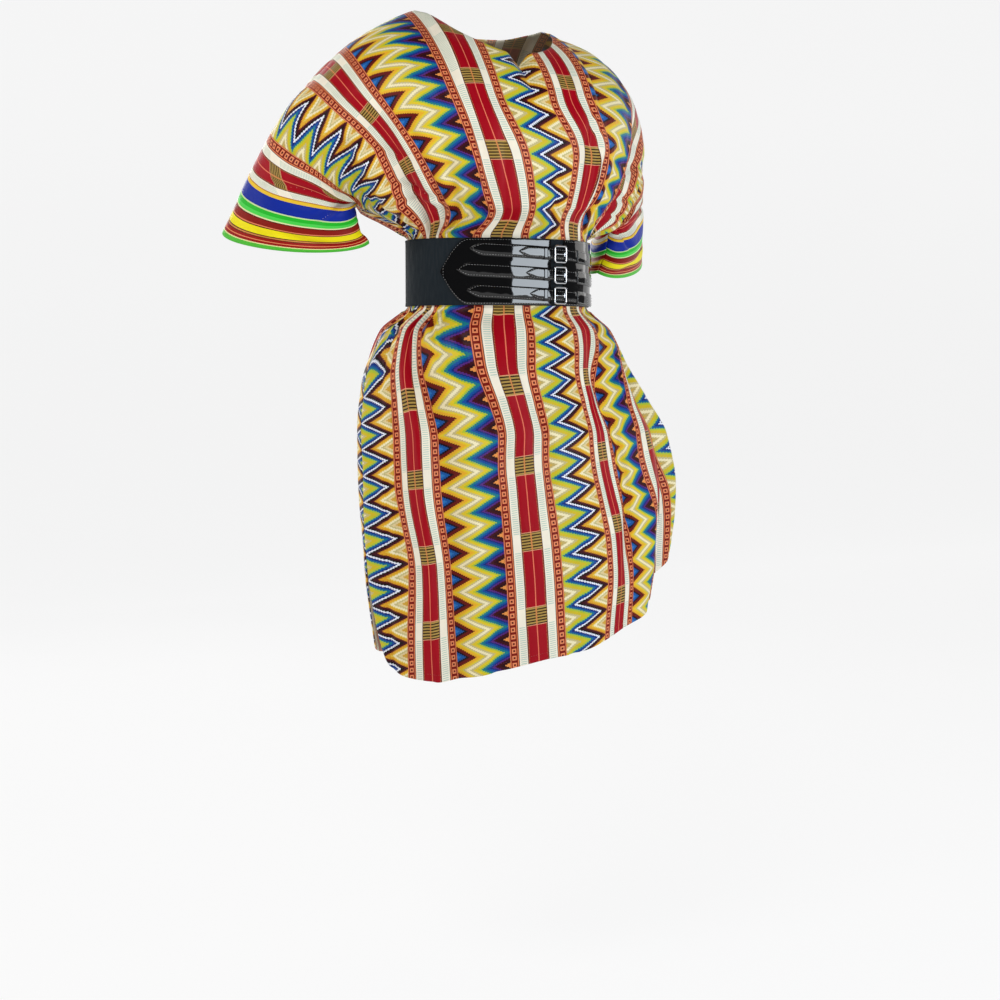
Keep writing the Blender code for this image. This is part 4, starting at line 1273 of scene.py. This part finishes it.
def strap_set(row, finishes):
    """One row: sewn strap, billet, keeper, sewn base, buckle and prong. Gives its seams."""
    middle = strap_middle(row)
    strips = {}
    for cut in STRAP_CUTS:
        tip, point = cut.tip, cut.point
        if cut.node == "strap":
            tip = row.tip_angle
        elif cut.node == "billet":
            tip = row.billet_angle
        strip = Strip(run_at(tip), run_at(tip + point), run_at(cut.end), cut.half, middle)
        piece = flat_strip(
            f"{cut.name}_{row.name}", strip, cut.thickness, cut.rows, cut.edge, finishes["patent"]
        )
        wrapped(piece, cut.lift, cut.crown, strip, cut.thickness, cut.power)
        settle(piece, f"{cut.node}_{row.name}")
        if cut.node == "billet":
            billet_holes(row, strip, finishes)
        strips[cut.node] = strip

    z = middle(run_at(BUCKLE_ANGLE))
    buckle_frame(row.name, z, finishes["metal"])
    prong(row.name, z, finishes["metal"])
    strap, billet, base = strips["strap"], strips["billet"], strips["strap_base"]
    top = STRAP_LIFT + PATENT + THREAD_RISE
    half_base = Strip(base.tip, base.tip, (base.tip + base.end) / 2.0, base.half, middle)
    return [
        outline_path(strap, STITCH_INSET, top),
        outline_path(base, STITCH_INSET, top),
        outline_path(half_base, STITCH_INSET, top),
        outline_path(billet, BILLET_INSET, BILLET_LIFT + PATENT + BILLET_THREAD_RISE),
    ]


def belt_matrix(angle, z, lift):
    """Places a piece made in the XZ plane, its face to -Y, on the belt."""
    centre = belt_point(angle, z, lift)
    outward = belt_point(angle, z, 1.0) - belt_point(angle, z, 0.0)
    up = Vector((0.0, 0.0, 1.0))
    along = up.cross(outward)
    turn = Matrix((along, -outward, up)).transposed().to_4x4()
    return Matrix.Translation(centre) @ turn


def billet_holes(row, billet, finishes):
    """Two punched holes between the billet's tip and keeper, each a dark disc with a pressed rim:
    painted shade for the hole's depth, over the black strap beneath.
    """
    holes = []
    for angle in (row.billet_angle + BILLET_POINT + 1.2, KEEPER_ANGLE - 3.6):
        deselect()
        bpy.ops.mesh.primitive_cylinder_add(vertices=24, radius=0.0013, depth=0.0004)
        hole_shade = bpy.context.object
        bpy.ops.object.mode_set(mode="EDIT")
        bpy.ops.mesh.select_all(action="SELECT")
        bpy.ops.mesh.bevel(offset=0.0001, segments=2)
        bpy.ops.object.mode_set(mode="OBJECT")
        hole_shade.data.transform(Matrix.Rotation(math.pi / 2.0, 4, "X"))
        z = billet.middle(run_at(angle))
        hole_shade.data.transform(belt_matrix(angle, z, BILLET_LIFT + PATENT + 0.00025))
        holes.append(hole_shade)
    deselect()
    for hole_shade in holes:
        hole_shade.select_set(True)
    bpy.context.view_layer.objects.active = holes[0]
    bpy.ops.object.join()
    holes[0].name = f"punched_holes_{row.name}"
    holes[0].data.materials.clear()
    holes[0].data.materials.append(finishes["hole_shade"])
    finish_smooth(holes[0])
    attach(holes[0], "root")


def buckle_frame(name, z, finish):
    """A rounded rectangle of wire: a torus whose quarters are drawn apart."""
    deselect()
    bpy.ops.mesh.primitive_torus_add(
        major_radius=BUCKLE_CORNER,
        minor_radius=BUCKLE_ROD,
        major_segments=48,
        minor_segments=20,
    )
    piece = bpy.context.object
    piece.name = f"buckle_frame_{name}"
    piece.data.transform(Matrix.Rotation(math.pi / 2.0, 4, "X"))
    reach_x = BUCKLE_HALF_WIDTH - BUCKLE_ROD - BUCKLE_CORNER
    reach_z = BUCKLE_HALF_HEIGHT - BUCKLE_ROD - BUCKLE_CORNER
    middle = 0.00001
    for vertex in piece.data.vertices:
        place = vertex.co
        if abs(place.x) > middle:
            place.x += math.copysign(reach_x, place.x)
        if abs(place.z) > middle:
            place.z += math.copysign(reach_z, place.z)
        place.y *= 0.85
    piece.data.transform(belt_matrix(BUCKLE_ANGLE, z, TOP_LIFT + BUCKLE_ROD))
    piece.data.materials.clear()
    piece.data.materials.append(finish)
    finish_smooth(piece, 60.0)
    settle(piece, f"buckle_{name}")


def prong(name, z, finish):
    """The buckle's prong: a tapered pin from its rolled end, laid over the frame."""
    reach = BUCKLE_HALF_WIDTH - 2.0 * BUCKLE_ROD - LAYER_GAP
    deselect()
    bpy.ops.mesh.primitive_cone_add(
        vertices=16, radius1=PRONG_HALF * 0.7, radius2=PRONG_HALF, depth=2.0 * reach
    )
    pin = bpy.context.object
    pin.data.transform(Matrix.Rotation(math.pi / 2.0, 4, "Y"))
    deselect()
    bpy.ops.mesh.primitive_cylinder_add(
        vertices=20, radius=PRONG_HALF * 1.25, depth=BUCKLE_HALF_HEIGHT * 0.5
    )
    roll = bpy.context.object
    roll.data.transform(Matrix.Translation((reach - PRONG_HALF * 1.25, 0.0, 0.0)))
    deselect()
    for part in (roll, pin):
        part.select_set(True)
    bpy.context.view_layer.objects.active = pin
    bpy.ops.object.join()
    pin.name = f"buckle_prong_{name}"
    soft_edges(pin, 0.0003, 3, 50.0)
    pin.data.transform(belt_matrix(BUCKLE_ANGLE, z, TOP_LIFT + PRONG_HALF * 1.25))
    pin.data.materials.clear()
    pin.data.materials.append(finish)
    finish_smooth(pin)
    settle(pin, f"prong_{name}")


# Materials


def linear(code):
    """A colour code as linear light."""
    values = []
    for k in (1, 3, 5):
        value = int(code[k:k + 2], 16) / 255.0
        values.append(value / 12.92 if value <= 0.04045 else ((value + 0.055) / 1.055) ** 2.4)
    return (*values, 1.0)


class Graph:
    """Adds nodes to a tree, with a number, a colour or a socket for each input."""

    def __init__(self, tree):
        self.tree = tree

    def join(self, value, socket):
        if isinstance(value, bpy.types.NodeSocket):
            self.tree.links.new(value, socket)
        else:
            socket.default_value = value

    def maths(self, operation, *values):
        node = self.tree.nodes.new("ShaderNodeMath")
        node.operation = operation
        for value, socket in zip(values, node.inputs):
            self.join(value, socket)
        return node.outputs[0]

    def within(self, value, low, high):
        """1 where the value lies between low and high."""
        above = self.maths("GREATER_THAN", value, low)
        below = self.maths("LESS_THAN", value, high)
        return self.maths("MULTIPLY", above, below)

    def both(self, *masks):
        result = masks[0]
        for mask in masks[1:]:
            result = self.maths("MULTIPLY", result, mask)
        return result

    def repeat(self, value, pitch, phase=0.0):
        """The value's place inside one repeat, from 0 to the pitch."""
        turned = self.maths("ADD", value, phase + 1000.0 * pitch)
        return self.maths("MODULO", turned, pitch)

    def blend(self, share, one, two):
        node = self.tree.nodes.new("ShaderNodeMix")
        node.data_type = "RGBA"
        self.join(share, node.inputs[0])
        self.join(one, node.inputs[6])
        self.join(two, node.inputs[7])
        return node.outputs[2]

    def tint(self, colour, factor):
        """A colour times a grey value."""
        node = self.tree.nodes.new("ShaderNodeVectorMath")
        node.operation = "SCALE"
        self.join(colour, node.inputs[0])
        self.join(factor, node.inputs["Scale"])
        return node.outputs[0]

    def bands(self, value, rows, low, high):
        """Flat bands of colour along a value, each from its row's place on."""
        share = self.maths("DIVIDE", self.maths("SUBTRACT", value, low), high - low)
        node = self.tree.nodes.new("ShaderNodeValToRGB")
        ramp = node.color_ramp
        ramp.interpolation = "CONSTANT"
        for k, (place, code) in enumerate(rows):
            at = max(0.0, (place - low) / (high - low))
            stop = ramp.elements[k] if k < 2 else ramp.elements.new(at)
            stop.position = at
            stop.color = linear(code)
        self.join(share, node.inputs[0])
        return node.outputs[0]

    def noise(self, vector, scale, detail, stretch=(1.0, 1.0, 1.0)):
        mapping = self.tree.nodes.new("ShaderNodeMapping")
        self.join(vector, mapping.inputs["Vector"])
        mapping.inputs["Scale"].default_value = stretch
        node = self.tree.nodes.new("ShaderNodeTexNoise")
        self.join(mapping.outputs[0], node.inputs["Vector"])
        node.inputs["Scale"].default_value = scale
        node.inputs["Detail"].default_value = detail
        return node.outputs[0]


def new_group(name, inputs, outputs):
    """A node group with named sockets: its graph, its inputs, and its output node."""
    tree = bpy.data.node_groups.new(name, "ShaderNodeTree")
    for label, kind, value in inputs:
        socket = tree.interface.new_socket(label, in_out="INPUT", socket_type=kind)
        if value is not None:
            socket.default_value = value
    for label, kind in outputs:
        tree.interface.new_socket(label, in_out="OUTPUT", socket_type=kind)
    graph = Graph(tree)
    entry = tree.nodes.new("NodeGroupInput")
    out = tree.nodes.new("NodeGroupOutput")
    return graph, entry.outputs, out.inputs


def stripe_group_colours(graph, place, down):
    """Red stripe between cream ladders and bands of square rings, ring band first."""
    inner = graph.maths("SUBTRACT", place, STRIPE_GROUP / 2.0)
    aside = graph.maths("ABSOLUTE", inner)
    red_half = STRIPE_GROUP / 2.0 - RING_BAND - FINE_LINE - LADDER - LADDER_EDGE
    ladder_end = red_half + LADDER_EDGE + LADDER
    ring_start = ladder_end + FINE_LINE
    base = graph.bands(aside, (
        (0.0, "#EE7A5C"),
        (0.7, "#A80018"),
        (red_half - 1.6, "#7A0410"),
        (red_half, "#5A2418"),
        (red_half + LADDER_EDGE, "#FFF6E2"),
        (ladder_end, "#3A2410"),
        (ring_start, "#E27E52"),
        (ring_start + 1.7, "#7E160C"),
        (ring_start + RING_BAND - 1.9, "#EE8A5C"),
        (ring_start + RING_BAND - 0.5, "#8A3A14"),
    ), 0.0, 50.0)

    across_ring = graph.maths("SUBTRACT", aside, ring_start + RING_BAND / 2.0)
    down_ring = graph.maths("SUBTRACT", graph.repeat(down, RING_PITCH), RING_PITCH / 2.0)
    from_ring = graph.maths(
        "MAXIMUM", graph.maths("ABSOLUTE", across_ring), graph.maths("ABSOLUTE", down_ring)
    )
    ring = graph.within(from_ring, 1.5, 3.5)
    colour = graph.blend(ring, base, linear("#F08E60"))
    dot = graph.maths("LESS_THAN", from_ring, 1.5)
    colour = graph.blend(dot, colour, linear("#5E1408"))

    from_block = graph.maths("ABSOLUTE", graph.maths(
        "SUBTRACT", graph.repeat(down, BLOCK_PITCH, BLOCK_PITCH / 2.0), BLOCK_PITCH / 2.0
    ))
    beside_block = graph.maths("LESS_THAN", from_block, BLOCK_HALF)
    on_ladder = graph.within(aside, red_half + LADDER_EDGE + 1.5, ladder_end - 2.0)
    rung = graph.maths("LESS_THAN", graph.repeat(down, 3.2), 1.5)
    plain = graph.maths("SUBTRACT", 1.0, beside_block)
    hatch = graph.both(on_ladder, rung, plain)
    colour = graph.blend(graph.maths("MULTIPLY", hatch, 0.85), colour, linear("#B9D2C2"))

    on_red = graph.maths("LESS_THAN", aside, red_half)
    thread = graph.maths("LESS_THAN", graph.repeat(down, 2.2), 1.0)
    dotted = graph.both(thread, graph.within(aside, red_half - 1.5, red_half - 0.5))
    colour = graph.blend(dotted, colour, linear("#C98A5A"))
    gold_line = graph.maths("LESS_THAN", graph.repeat(down, 4.3, 1.2), 2.3)
    gold = graph.blend(gold_line, linear("#33200E"), linear("#B8964C"))
    spine = graph.maths("LESS_THAN", aside, 1.0)
    gold = graph.blend(spine, gold, linear("#D98A4E"))
    colour = graph.blend(graph.both(on_red, beside_block), colour, gold)
    rim = graph.both(on_red, graph.within(from_block, BLOCK_HALF, BLOCK_HALF + 1.1))
    return graph.blend(rim, colour, linear("#E8A27A"))


def chevron_wave(graph, down, phase):
    """Triangle wave from 0 to 1 down the cloth, 1 where a zigzag reaches furthest."""
    turn = graph.repeat(down, CHEVRON_PITCH, phase)
    return graph.maths("ABSOLUTE", graph.maths(
        "SUBTRACT", graph.maths("MULTIPLY", turn, 2.0 / CHEVRON_PITCH), 1.0
    ))


def printed_pattern():
    """Shader group: the strip-cloth print, from the place on the flat cloth in metres."""
    graph, entry, out = new_group(
        "strip_cloth_print",
        (("Flat place", "NodeSocketVector", None), ("Fade", "NodeSocketFloat", 0.0)),
        (("Color", "NodeSocketColor"), ("Ink", "NodeSocketFloat")),
    )
    split = graph.tree.nodes.new("ShaderNodeSeparateXYZ")
    graph.join(entry["Flat place"], split.inputs[0])
    across = graph.maths("MULTIPLY", split.outputs[0], 1000.0)
    down = graph.maths("MULTIPLY", split.outputs[1], 1000.0)

    place = graph.repeat(across, REPEAT, CENTRE_BAND / 2.0)
    stepped = graph.maths("MULTIPLY", graph.maths(
        "FLOOR", graph.maths("DIVIDE", down, CHEVRON_STEP)
    ), CHEVRON_STEP)
    centre_wave = chevron_wave(graph, stepped, CENTRE_PHASE)
    wide_wave = chevron_wave(graph, stepped, WIDE_PHASE)

    in_centre = graph.maths(
        "SUBTRACT", place, graph.maths("MULTIPLY", centre_wave, CENTRE_REACH)
    )
    colour = graph.bands(in_centre, CENTRE_CHEVRONS, -CENTRE_REACH, CENTRE_BAND)
    group_colour = stripe_group_colours(
        graph,
        graph.repeat(graph.maths("SUBTRACT", place, CENTRE_BAND), STRIPE_GROUP + WIDE_BAND),
        down,
    )
    wide_start = CENTRE_BAND + STRIPE_GROUP
    in_wide = graph.maths(
        "SUBTRACT",
        graph.maths("SUBTRACT", place, wide_start),
        graph.maths("MULTIPLY", wide_wave, WIDE_REACH),
    )
    wide_colour = graph.bands(in_wide, WIDE_CHEVRONS, -WIDE_REACH, WIDE_BAND)
    past_centre = graph.maths("GREATER_THAN", place, CENTRE_BAND)
    colour = graph.blend(past_centre, colour, group_colour)
    is_wide = graph.within(place, wide_start, wide_start + WIDE_BAND)
    colour = graph.blend(is_wide, colour, wide_colour)

    away = graph.maths("ABSOLUTE", across)
    from_border = graph.maths("SUBTRACT", away, BORDER_START)
    border = graph.bands(from_border, BORDER_STRIPES, 0.0, BORDER_WIDTH)
    colour = graph.blend(graph.maths("GREATER_THAN", from_border, 0.0), colour, border)

    cloudy = graph.noise(entry["Flat place"], 26.0, 3.0)
    shade = graph.maths("ADD", graph.maths("MULTIPLY", cloudy, 0.22), 0.79)
    weft = graph.maths("LESS_THAN", graph.repeat(down, 1.1), 0.35)
    shade = graph.maths("SUBTRACT", shade, graph.maths("MULTIPLY", weft, 0.07))
    colour = graph.tint(colour, shade)
    colour = graph.blend(entry["Fade"], colour, linear("#D8CDB4"))
    graph.join(colour, out["Color"])
    graph.join(cloudy, out["Ink"])
    return graph.tree


def woven_relief():
    """Shader group: height of a plain weave, from a flat place and a thread pitch."""
    graph, entry, out = new_group(
        "woven_relief",
        (("Flat place", "NodeSocketVector", None), ("Threads per metre", "NodeSocketFloat", 1600.0),
         ("Rib", "NodeSocketFloat", 1.0)),
        (("Height", "NodeSocketFloat"), ("Thread", "NodeSocketFloat")),
    )
    split = graph.tree.nodes.new("ShaderNodeSeparateXYZ")
    graph.join(entry["Flat place"], split.inputs[0])
    threads = graph.maths("MULTIPLY", entry["Threads per metre"], 2.0 * math.pi)
    warp = graph.maths("SINE", graph.maths("MULTIPLY", split.outputs[0], threads))
    weft_threads = graph.maths("MULTIPLY", threads, entry["Rib"])
    weft = graph.maths("SINE", graph.maths("MULTIPLY", split.outputs[1], weft_threads))
    product = graph.maths("MULTIPLY", warp, weft)
    height = graph.maths("ADD", graph.maths("MULTIPLY", product, 0.25), 0.5)
    slub = graph.noise(entry["Flat place"], 300.0, 2.0, (1.0, 0.15, 1.0))
    height = graph.maths("ADD", height, graph.maths("MULTIPLY", slub, 0.3))
    graph.join(height, out["Height"])
    graph.join(slub, out["Thread"])
    return graph.tree


def handled_surface():
    """Shader group: smudges, faint waves and rubbed places on a glossy surface."""
    graph, entry, out = new_group(
        "handled_surface",
        (("Place", "NodeSocketVector", None), ("Wave scale", "NodeSocketFloat", 60.0),
         ("Smudge scale", "NodeSocketFloat", 120.0)),
        (("Smudge", "NodeSocketFloat"), ("Height", "NodeSocketFloat")),
    )
    wave = graph.tree.nodes.new("ShaderNodeTexNoise")
    graph.join(entry["Place"], wave.inputs["Vector"])
    graph.join(entry["Wave scale"], wave.inputs["Scale"])
    wave.inputs["Detail"].default_value = 1.0
    smudge = graph.tree.nodes.new("ShaderNodeTexNoise")
    graph.join(entry["Place"], smudge.inputs["Vector"])
    graph.join(entry["Smudge scale"], smudge.inputs["Scale"])
    smudge.inputs["Detail"].default_value = 5.0
    smudge.inputs["Roughness"].default_value = 0.65
    graph.join(smudge.outputs[0], out["Smudge"])
    graph.join(wave.outputs[0], out["Height"])
    return graph.tree


def new_material(name, **sockets):
    """A material with its uniform values on the shader's own sockets."""
    material = bpy.data.materials.new(name)
    material.use_nodes = True
    shader = material.node_tree.nodes["Principled BSDF"]
    for label, value in sockets.items():
        shader.inputs[label.replace("_", " ")].default_value = value
    return material, Graph(material.node_tree), shader


def placed_group(graph, tree, **values):
    node = graph.tree.nodes.new("ShaderNodeGroup")
    node.node_tree = tree
    for label, value in values.items():
        graph.join(value, node.inputs[label.replace("_", " ")])
    return node.outputs


def bump(graph, shader, layers):
    """Bump nodes one after the other: height, distance and strength of each."""
    normal = None
    for height, distance, strength in layers:
        node = graph.tree.nodes.new("ShaderNodeBump")
        node.inputs["Distance"].default_value = distance
        node.inputs["Strength"].default_value = strength
        graph.join(height, node.inputs["Height"])
        if normal is not None:
            graph.join(normal, node.inputs["Normal"])
        normal = node.outputs[0]
    graph.join(normal, shader.inputs["Normal"])


def flat_place(graph):
    """The place on the flat cloth, from the piece's own UV map."""
    node = graph.tree.nodes.new("ShaderNodeUVMap")
    node.uv_map = "flat_cloth"
    return node.outputs[0]


def object_place(graph):
    return graph.tree.nodes.new("ShaderNodeTexCoord").outputs["Object"]


def printed_cotton(name, pattern, weave, fade, roughness):
    """Glazed wax-print cotton; its wrong side is the same print, paler."""
    material, graph, shader = new_material(
        name, Specular_IOR_Level=0.13
    )
    place = flat_place(graph)
    pattern_out = placed_group(graph, pattern, Flat_place=place, Fade=fade)
    weave_out = placed_group(graph, weave, Flat_place=place, Threads_per_metre=1250.0)
    graph.join(pattern_out["Color"], shader.inputs["Base Color"])
    rough = graph.maths("ADD", graph.maths("MULTIPLY", pattern_out["Ink"], 0.25), roughness - 0.12)
    graph.join(rough, shader.inputs["Roughness"])
    crumple = graph.noise(place, 34.0, 4.0, (1.0, 0.45, 1.0))
    crease = graph.noise(place, 95.0, 3.0, (1.0, 0.6, 1.0))
    bump(graph, shader, (
        (crumple, 0.006, 0.35),
        (crease, 0.0018, 0.35),
        (weave_out["Height"], 0.00015, 0.5),
    ))
    return material


def ribbed_elastic(weave):
    """Matt charcoal elastic, ribbed up and down."""
    material, graph, shader = new_material(
        "ribbed_elastic", Sheen_Weight=0.04, Sheen_Roughness=0.5, Specular_IOR_Level=0.15
    )
    node = graph.tree.nodes.new("ShaderNodeUVMap")
    node.uv_map = "UVMap"
    weave_out = placed_group(
        graph, weave, Flat_place=node.outputs[0], Threads_per_metre=620.0, Rib=0.7
    )
    # Darker where the weave lies low: painted shade in the hollows between threads and ribs, with
    # random slub tone from the weave's noise.
    colour = graph.blend(weave_out["Height"], linear("#0A0E11"), linear("#1E272E"))
    graph.join(colour, shader.inputs["Base Color"])
    graph.join(graph.maths("ADD", weave_out["Thread"], 0.35), shader.inputs["Roughness"])
    bump(graph, shader, ((weave_out["Height"], 0.0006, 0.7),))
    return material


def glossy(name, colour, worn_colour, handled, values, rough, relief):
    """Patent or metal: smooth, with faint smudges and waves."""
    material, graph, shader = new_material(name, **values)
    out = placed_group(graph, handled, Place=object_place(graph))
    shade = graph.blend(out["Smudge"], linear(colour), linear(worn_colour))
    graph.join(shade, shader.inputs["Base Color"])
    spread = graph.maths("MULTIPLY", out["Smudge"], rough[1])
    graph.join(graph.maths("ADD", spread, rough[0]), shader.inputs["Roughness"])
    bump(graph, shader, ((out["Height"], relief, 0.5),))
    return material


def sewing_thread(name, colour):
    material, graph, shader = new_material(name, Sheen_Weight=0.2)
    lint = graph.noise(object_place(graph), 900.0, 2.0)
    graph.join(graph.blend(lint, linear(colour), linear("#8A8070")), shader.inputs["Base Color"])
    graph.join(graph.maths("ADD", lint, 0.2), shader.inputs["Roughness"])
    bump(graph, shader, ((lint, 0.0002, 0.4),))
    return material


def all_finishes():
    weave = woven_relief()
    pattern = printed_pattern()
    handled = handled_surface()
    patent = {"Specular_IOR_Level": 0.60}
    return {
        "cotton": printed_cotton("printed_cotton", pattern, weave, 0.0, 0.42),
        "wrong_side": printed_cotton("printed_cotton_wrong_side", pattern, weave, 0.42, 0.80),
        "elastic": ribbed_elastic(weave),
        "patent": glossy(
            "patent_leather", "#010102", "#040405", handled, patent, (0.02, 0.06), 0.0006
        ),
        "metal": glossy(
            "silver_metal", "#D9DBDE", "#B4B6BA", handled, {"Metallic": 1.0}, (0.10, 0.20), 0.0003
        ),
        # The holes' near-black disc is painted shade for the hole's depth, over the black strap
        # beneath.
        "hole_shade": sewing_thread("punched_hole", "#020202"),
        # The patent stitches' pale grey is a painted highlight: it stands for glints on black thread.
        "thread": sewing_thread("patent_thread", "#A6AEB6"),
        "hem_thread": sewing_thread("hem_thread", "#7A1410"),
    }


# Room


def build_room():
    """A pale sweep of floor and backdrop, and soft lights."""
    deselect()
    middle = (0.0, WALL_PLACE - FLOOR_SIZE / 2.0, FLOOR)
    bpy.ops.mesh.primitive_plane_add(size=FLOOR_SIZE, location=middle)
    floor = bpy.context.object
    floor.name = "pale_floor"
    bpy.ops.object.mode_set(mode="EDIT")
    bpy.ops.mesh.select_all(action="DESELECT")
    bpy.ops.object.mode_set(mode="OBJECT")
    for edge in floor.data.edges:
        edge.select = all(floor.data.vertices[v].co.y > 0.0 for v in edge.vertices)
    bpy.ops.object.mode_set(mode="EDIT")
    bpy.ops.mesh.select_mode(type="EDGE")
    bpy.ops.mesh.extrude_region_move(TRANSFORM_OT_translate={"value": (0.0, 0.0, WALL_HEIGHT)})
    bpy.ops.object.mode_set(mode="OBJECT")
    bpy.ops.object.transform_apply(location=True, rotation=True, scale=True)
    soft_edges(floor, WALL_CURVE, 16, 40.0)
    material, graph, shader = new_material("pale_floor", Roughness=0.9, Specular_IOR_Level=0.1)
    mottle = graph.noise(object_place(graph), 1.5, 2.0)
    graph.join(
        graph.blend(mottle, linear("#5E5E5F"), linear("#646464")), shader.inputs["Base Color"]
    )
    shader.inputs["Emission Color"].default_value = (1.0, 1.0, 1.0, 1.0)
    shader.inputs["Emission Strength"].default_value = FLOOR_GLOW
    floor.data.materials.append(material)
    finish_smooth(floor, 60.0)

    world = bpy.data.worlds.new("soft_room")
    bpy.context.scene.world = world
    world.use_nodes = True
    background = world.node_tree.nodes["Background"]
    background.inputs["Color"].default_value = (0.97, 0.98, 1.0, 1.0)
    background.inputs["Strength"].default_value = ROOM_LIGHT

    for lamp in LAMPS:
        azimuth = math.radians(lamp.azimuth)
        place = Vector((
            math.sin(azimuth) * lamp.distance, -math.cos(azimuth) * lamp.distance, lamp.height
        ))
        light = bpy.data.lights.new(lamp.name, "AREA")
        light.shape = "RECTANGLE"
        light.size = lamp.width
        light.size_y = lamp.tall
        light.energy = lamp.power
        light.color = lamp.colour
        body = bpy.data.objects.new(lamp.name, light)
        body.location = place
        body.rotation_euler = (place - LAMP_TARGET).to_track_quat("Z", "Y").to_euler()
        bpy.context.scene.collection.objects.link(body)


def build_camera():
    """The photograph's viewing angle, from the front and a little to the right."""
    data = bpy.data.cameras.new("camera")
    data.lens = CAMERA_LENS
    data.sensor_width = 36.0
    data.shift_x = CAMERA_SHIFT
    body = bpy.data.objects.new("camera", data)
    body.location = (
        math.sin(CAMERA_TURN) * CAMERA_DISTANCE,
        -math.cos(CAMERA_TURN) * CAMERA_DISTANCE,
        CAMERA_HEIGHT,
    )
    body.rotation_euler = (math.pi / 2.0 - CAMERA_TILT, 0.0, CAMERA_TURN)
    bpy.context.scene.collection.objects.link(body)
    bpy.context.scene.camera = body


# Dress


def row_path(panel, row, first, last):
    return [
        (panel.points[(column, row)], panel.normals[(column, row)])
        for column in range(first, last + 1)
    ]


def column_path(panel, column):
    return [
        (panel.points[(column, row)], panel.normals[(column, row)])
        for row in range(ARMPIT_ROW + 1)
    ]


def build_dress(finishes):
    """Front and back of the dress, and the stitching of its hem and cuffs."""
    panels = shaped_panels()
    for face, name in ((FRONT, "front"), (BACK, "back")):
        panel = panels[face]
        piece = cloth_piece(
            f"{name}_cloth", panel, face, (finishes["cotton"], finishes["wrong_side"])
        )
        settle(piece, f"{name}_panel")
        hem_row, cuff_column = LAST_ROW - HEM_CELLS, HEM_CELLS
        paths = [
            row_path(panel, hem_row, RIGHT_SIDE + 1, LEFT_SIDE - 1),
            column_path(panel, cuff_column),
            column_path(panel, LAST_COLUMN - cuff_column),
        ]
        stitches = stitch_row(
            f"{name}_hem_stitches", paths, *CLOTH_STITCH, finishes["hem_thread"]
        )


def main():
    bpy.context.scene.view_settings.view_transform = "Standard"
    build_camera()
    finishes = all_finishes()
    build_dress(finishes)
    build_belt(finishes)
    build_room()
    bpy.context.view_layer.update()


main()
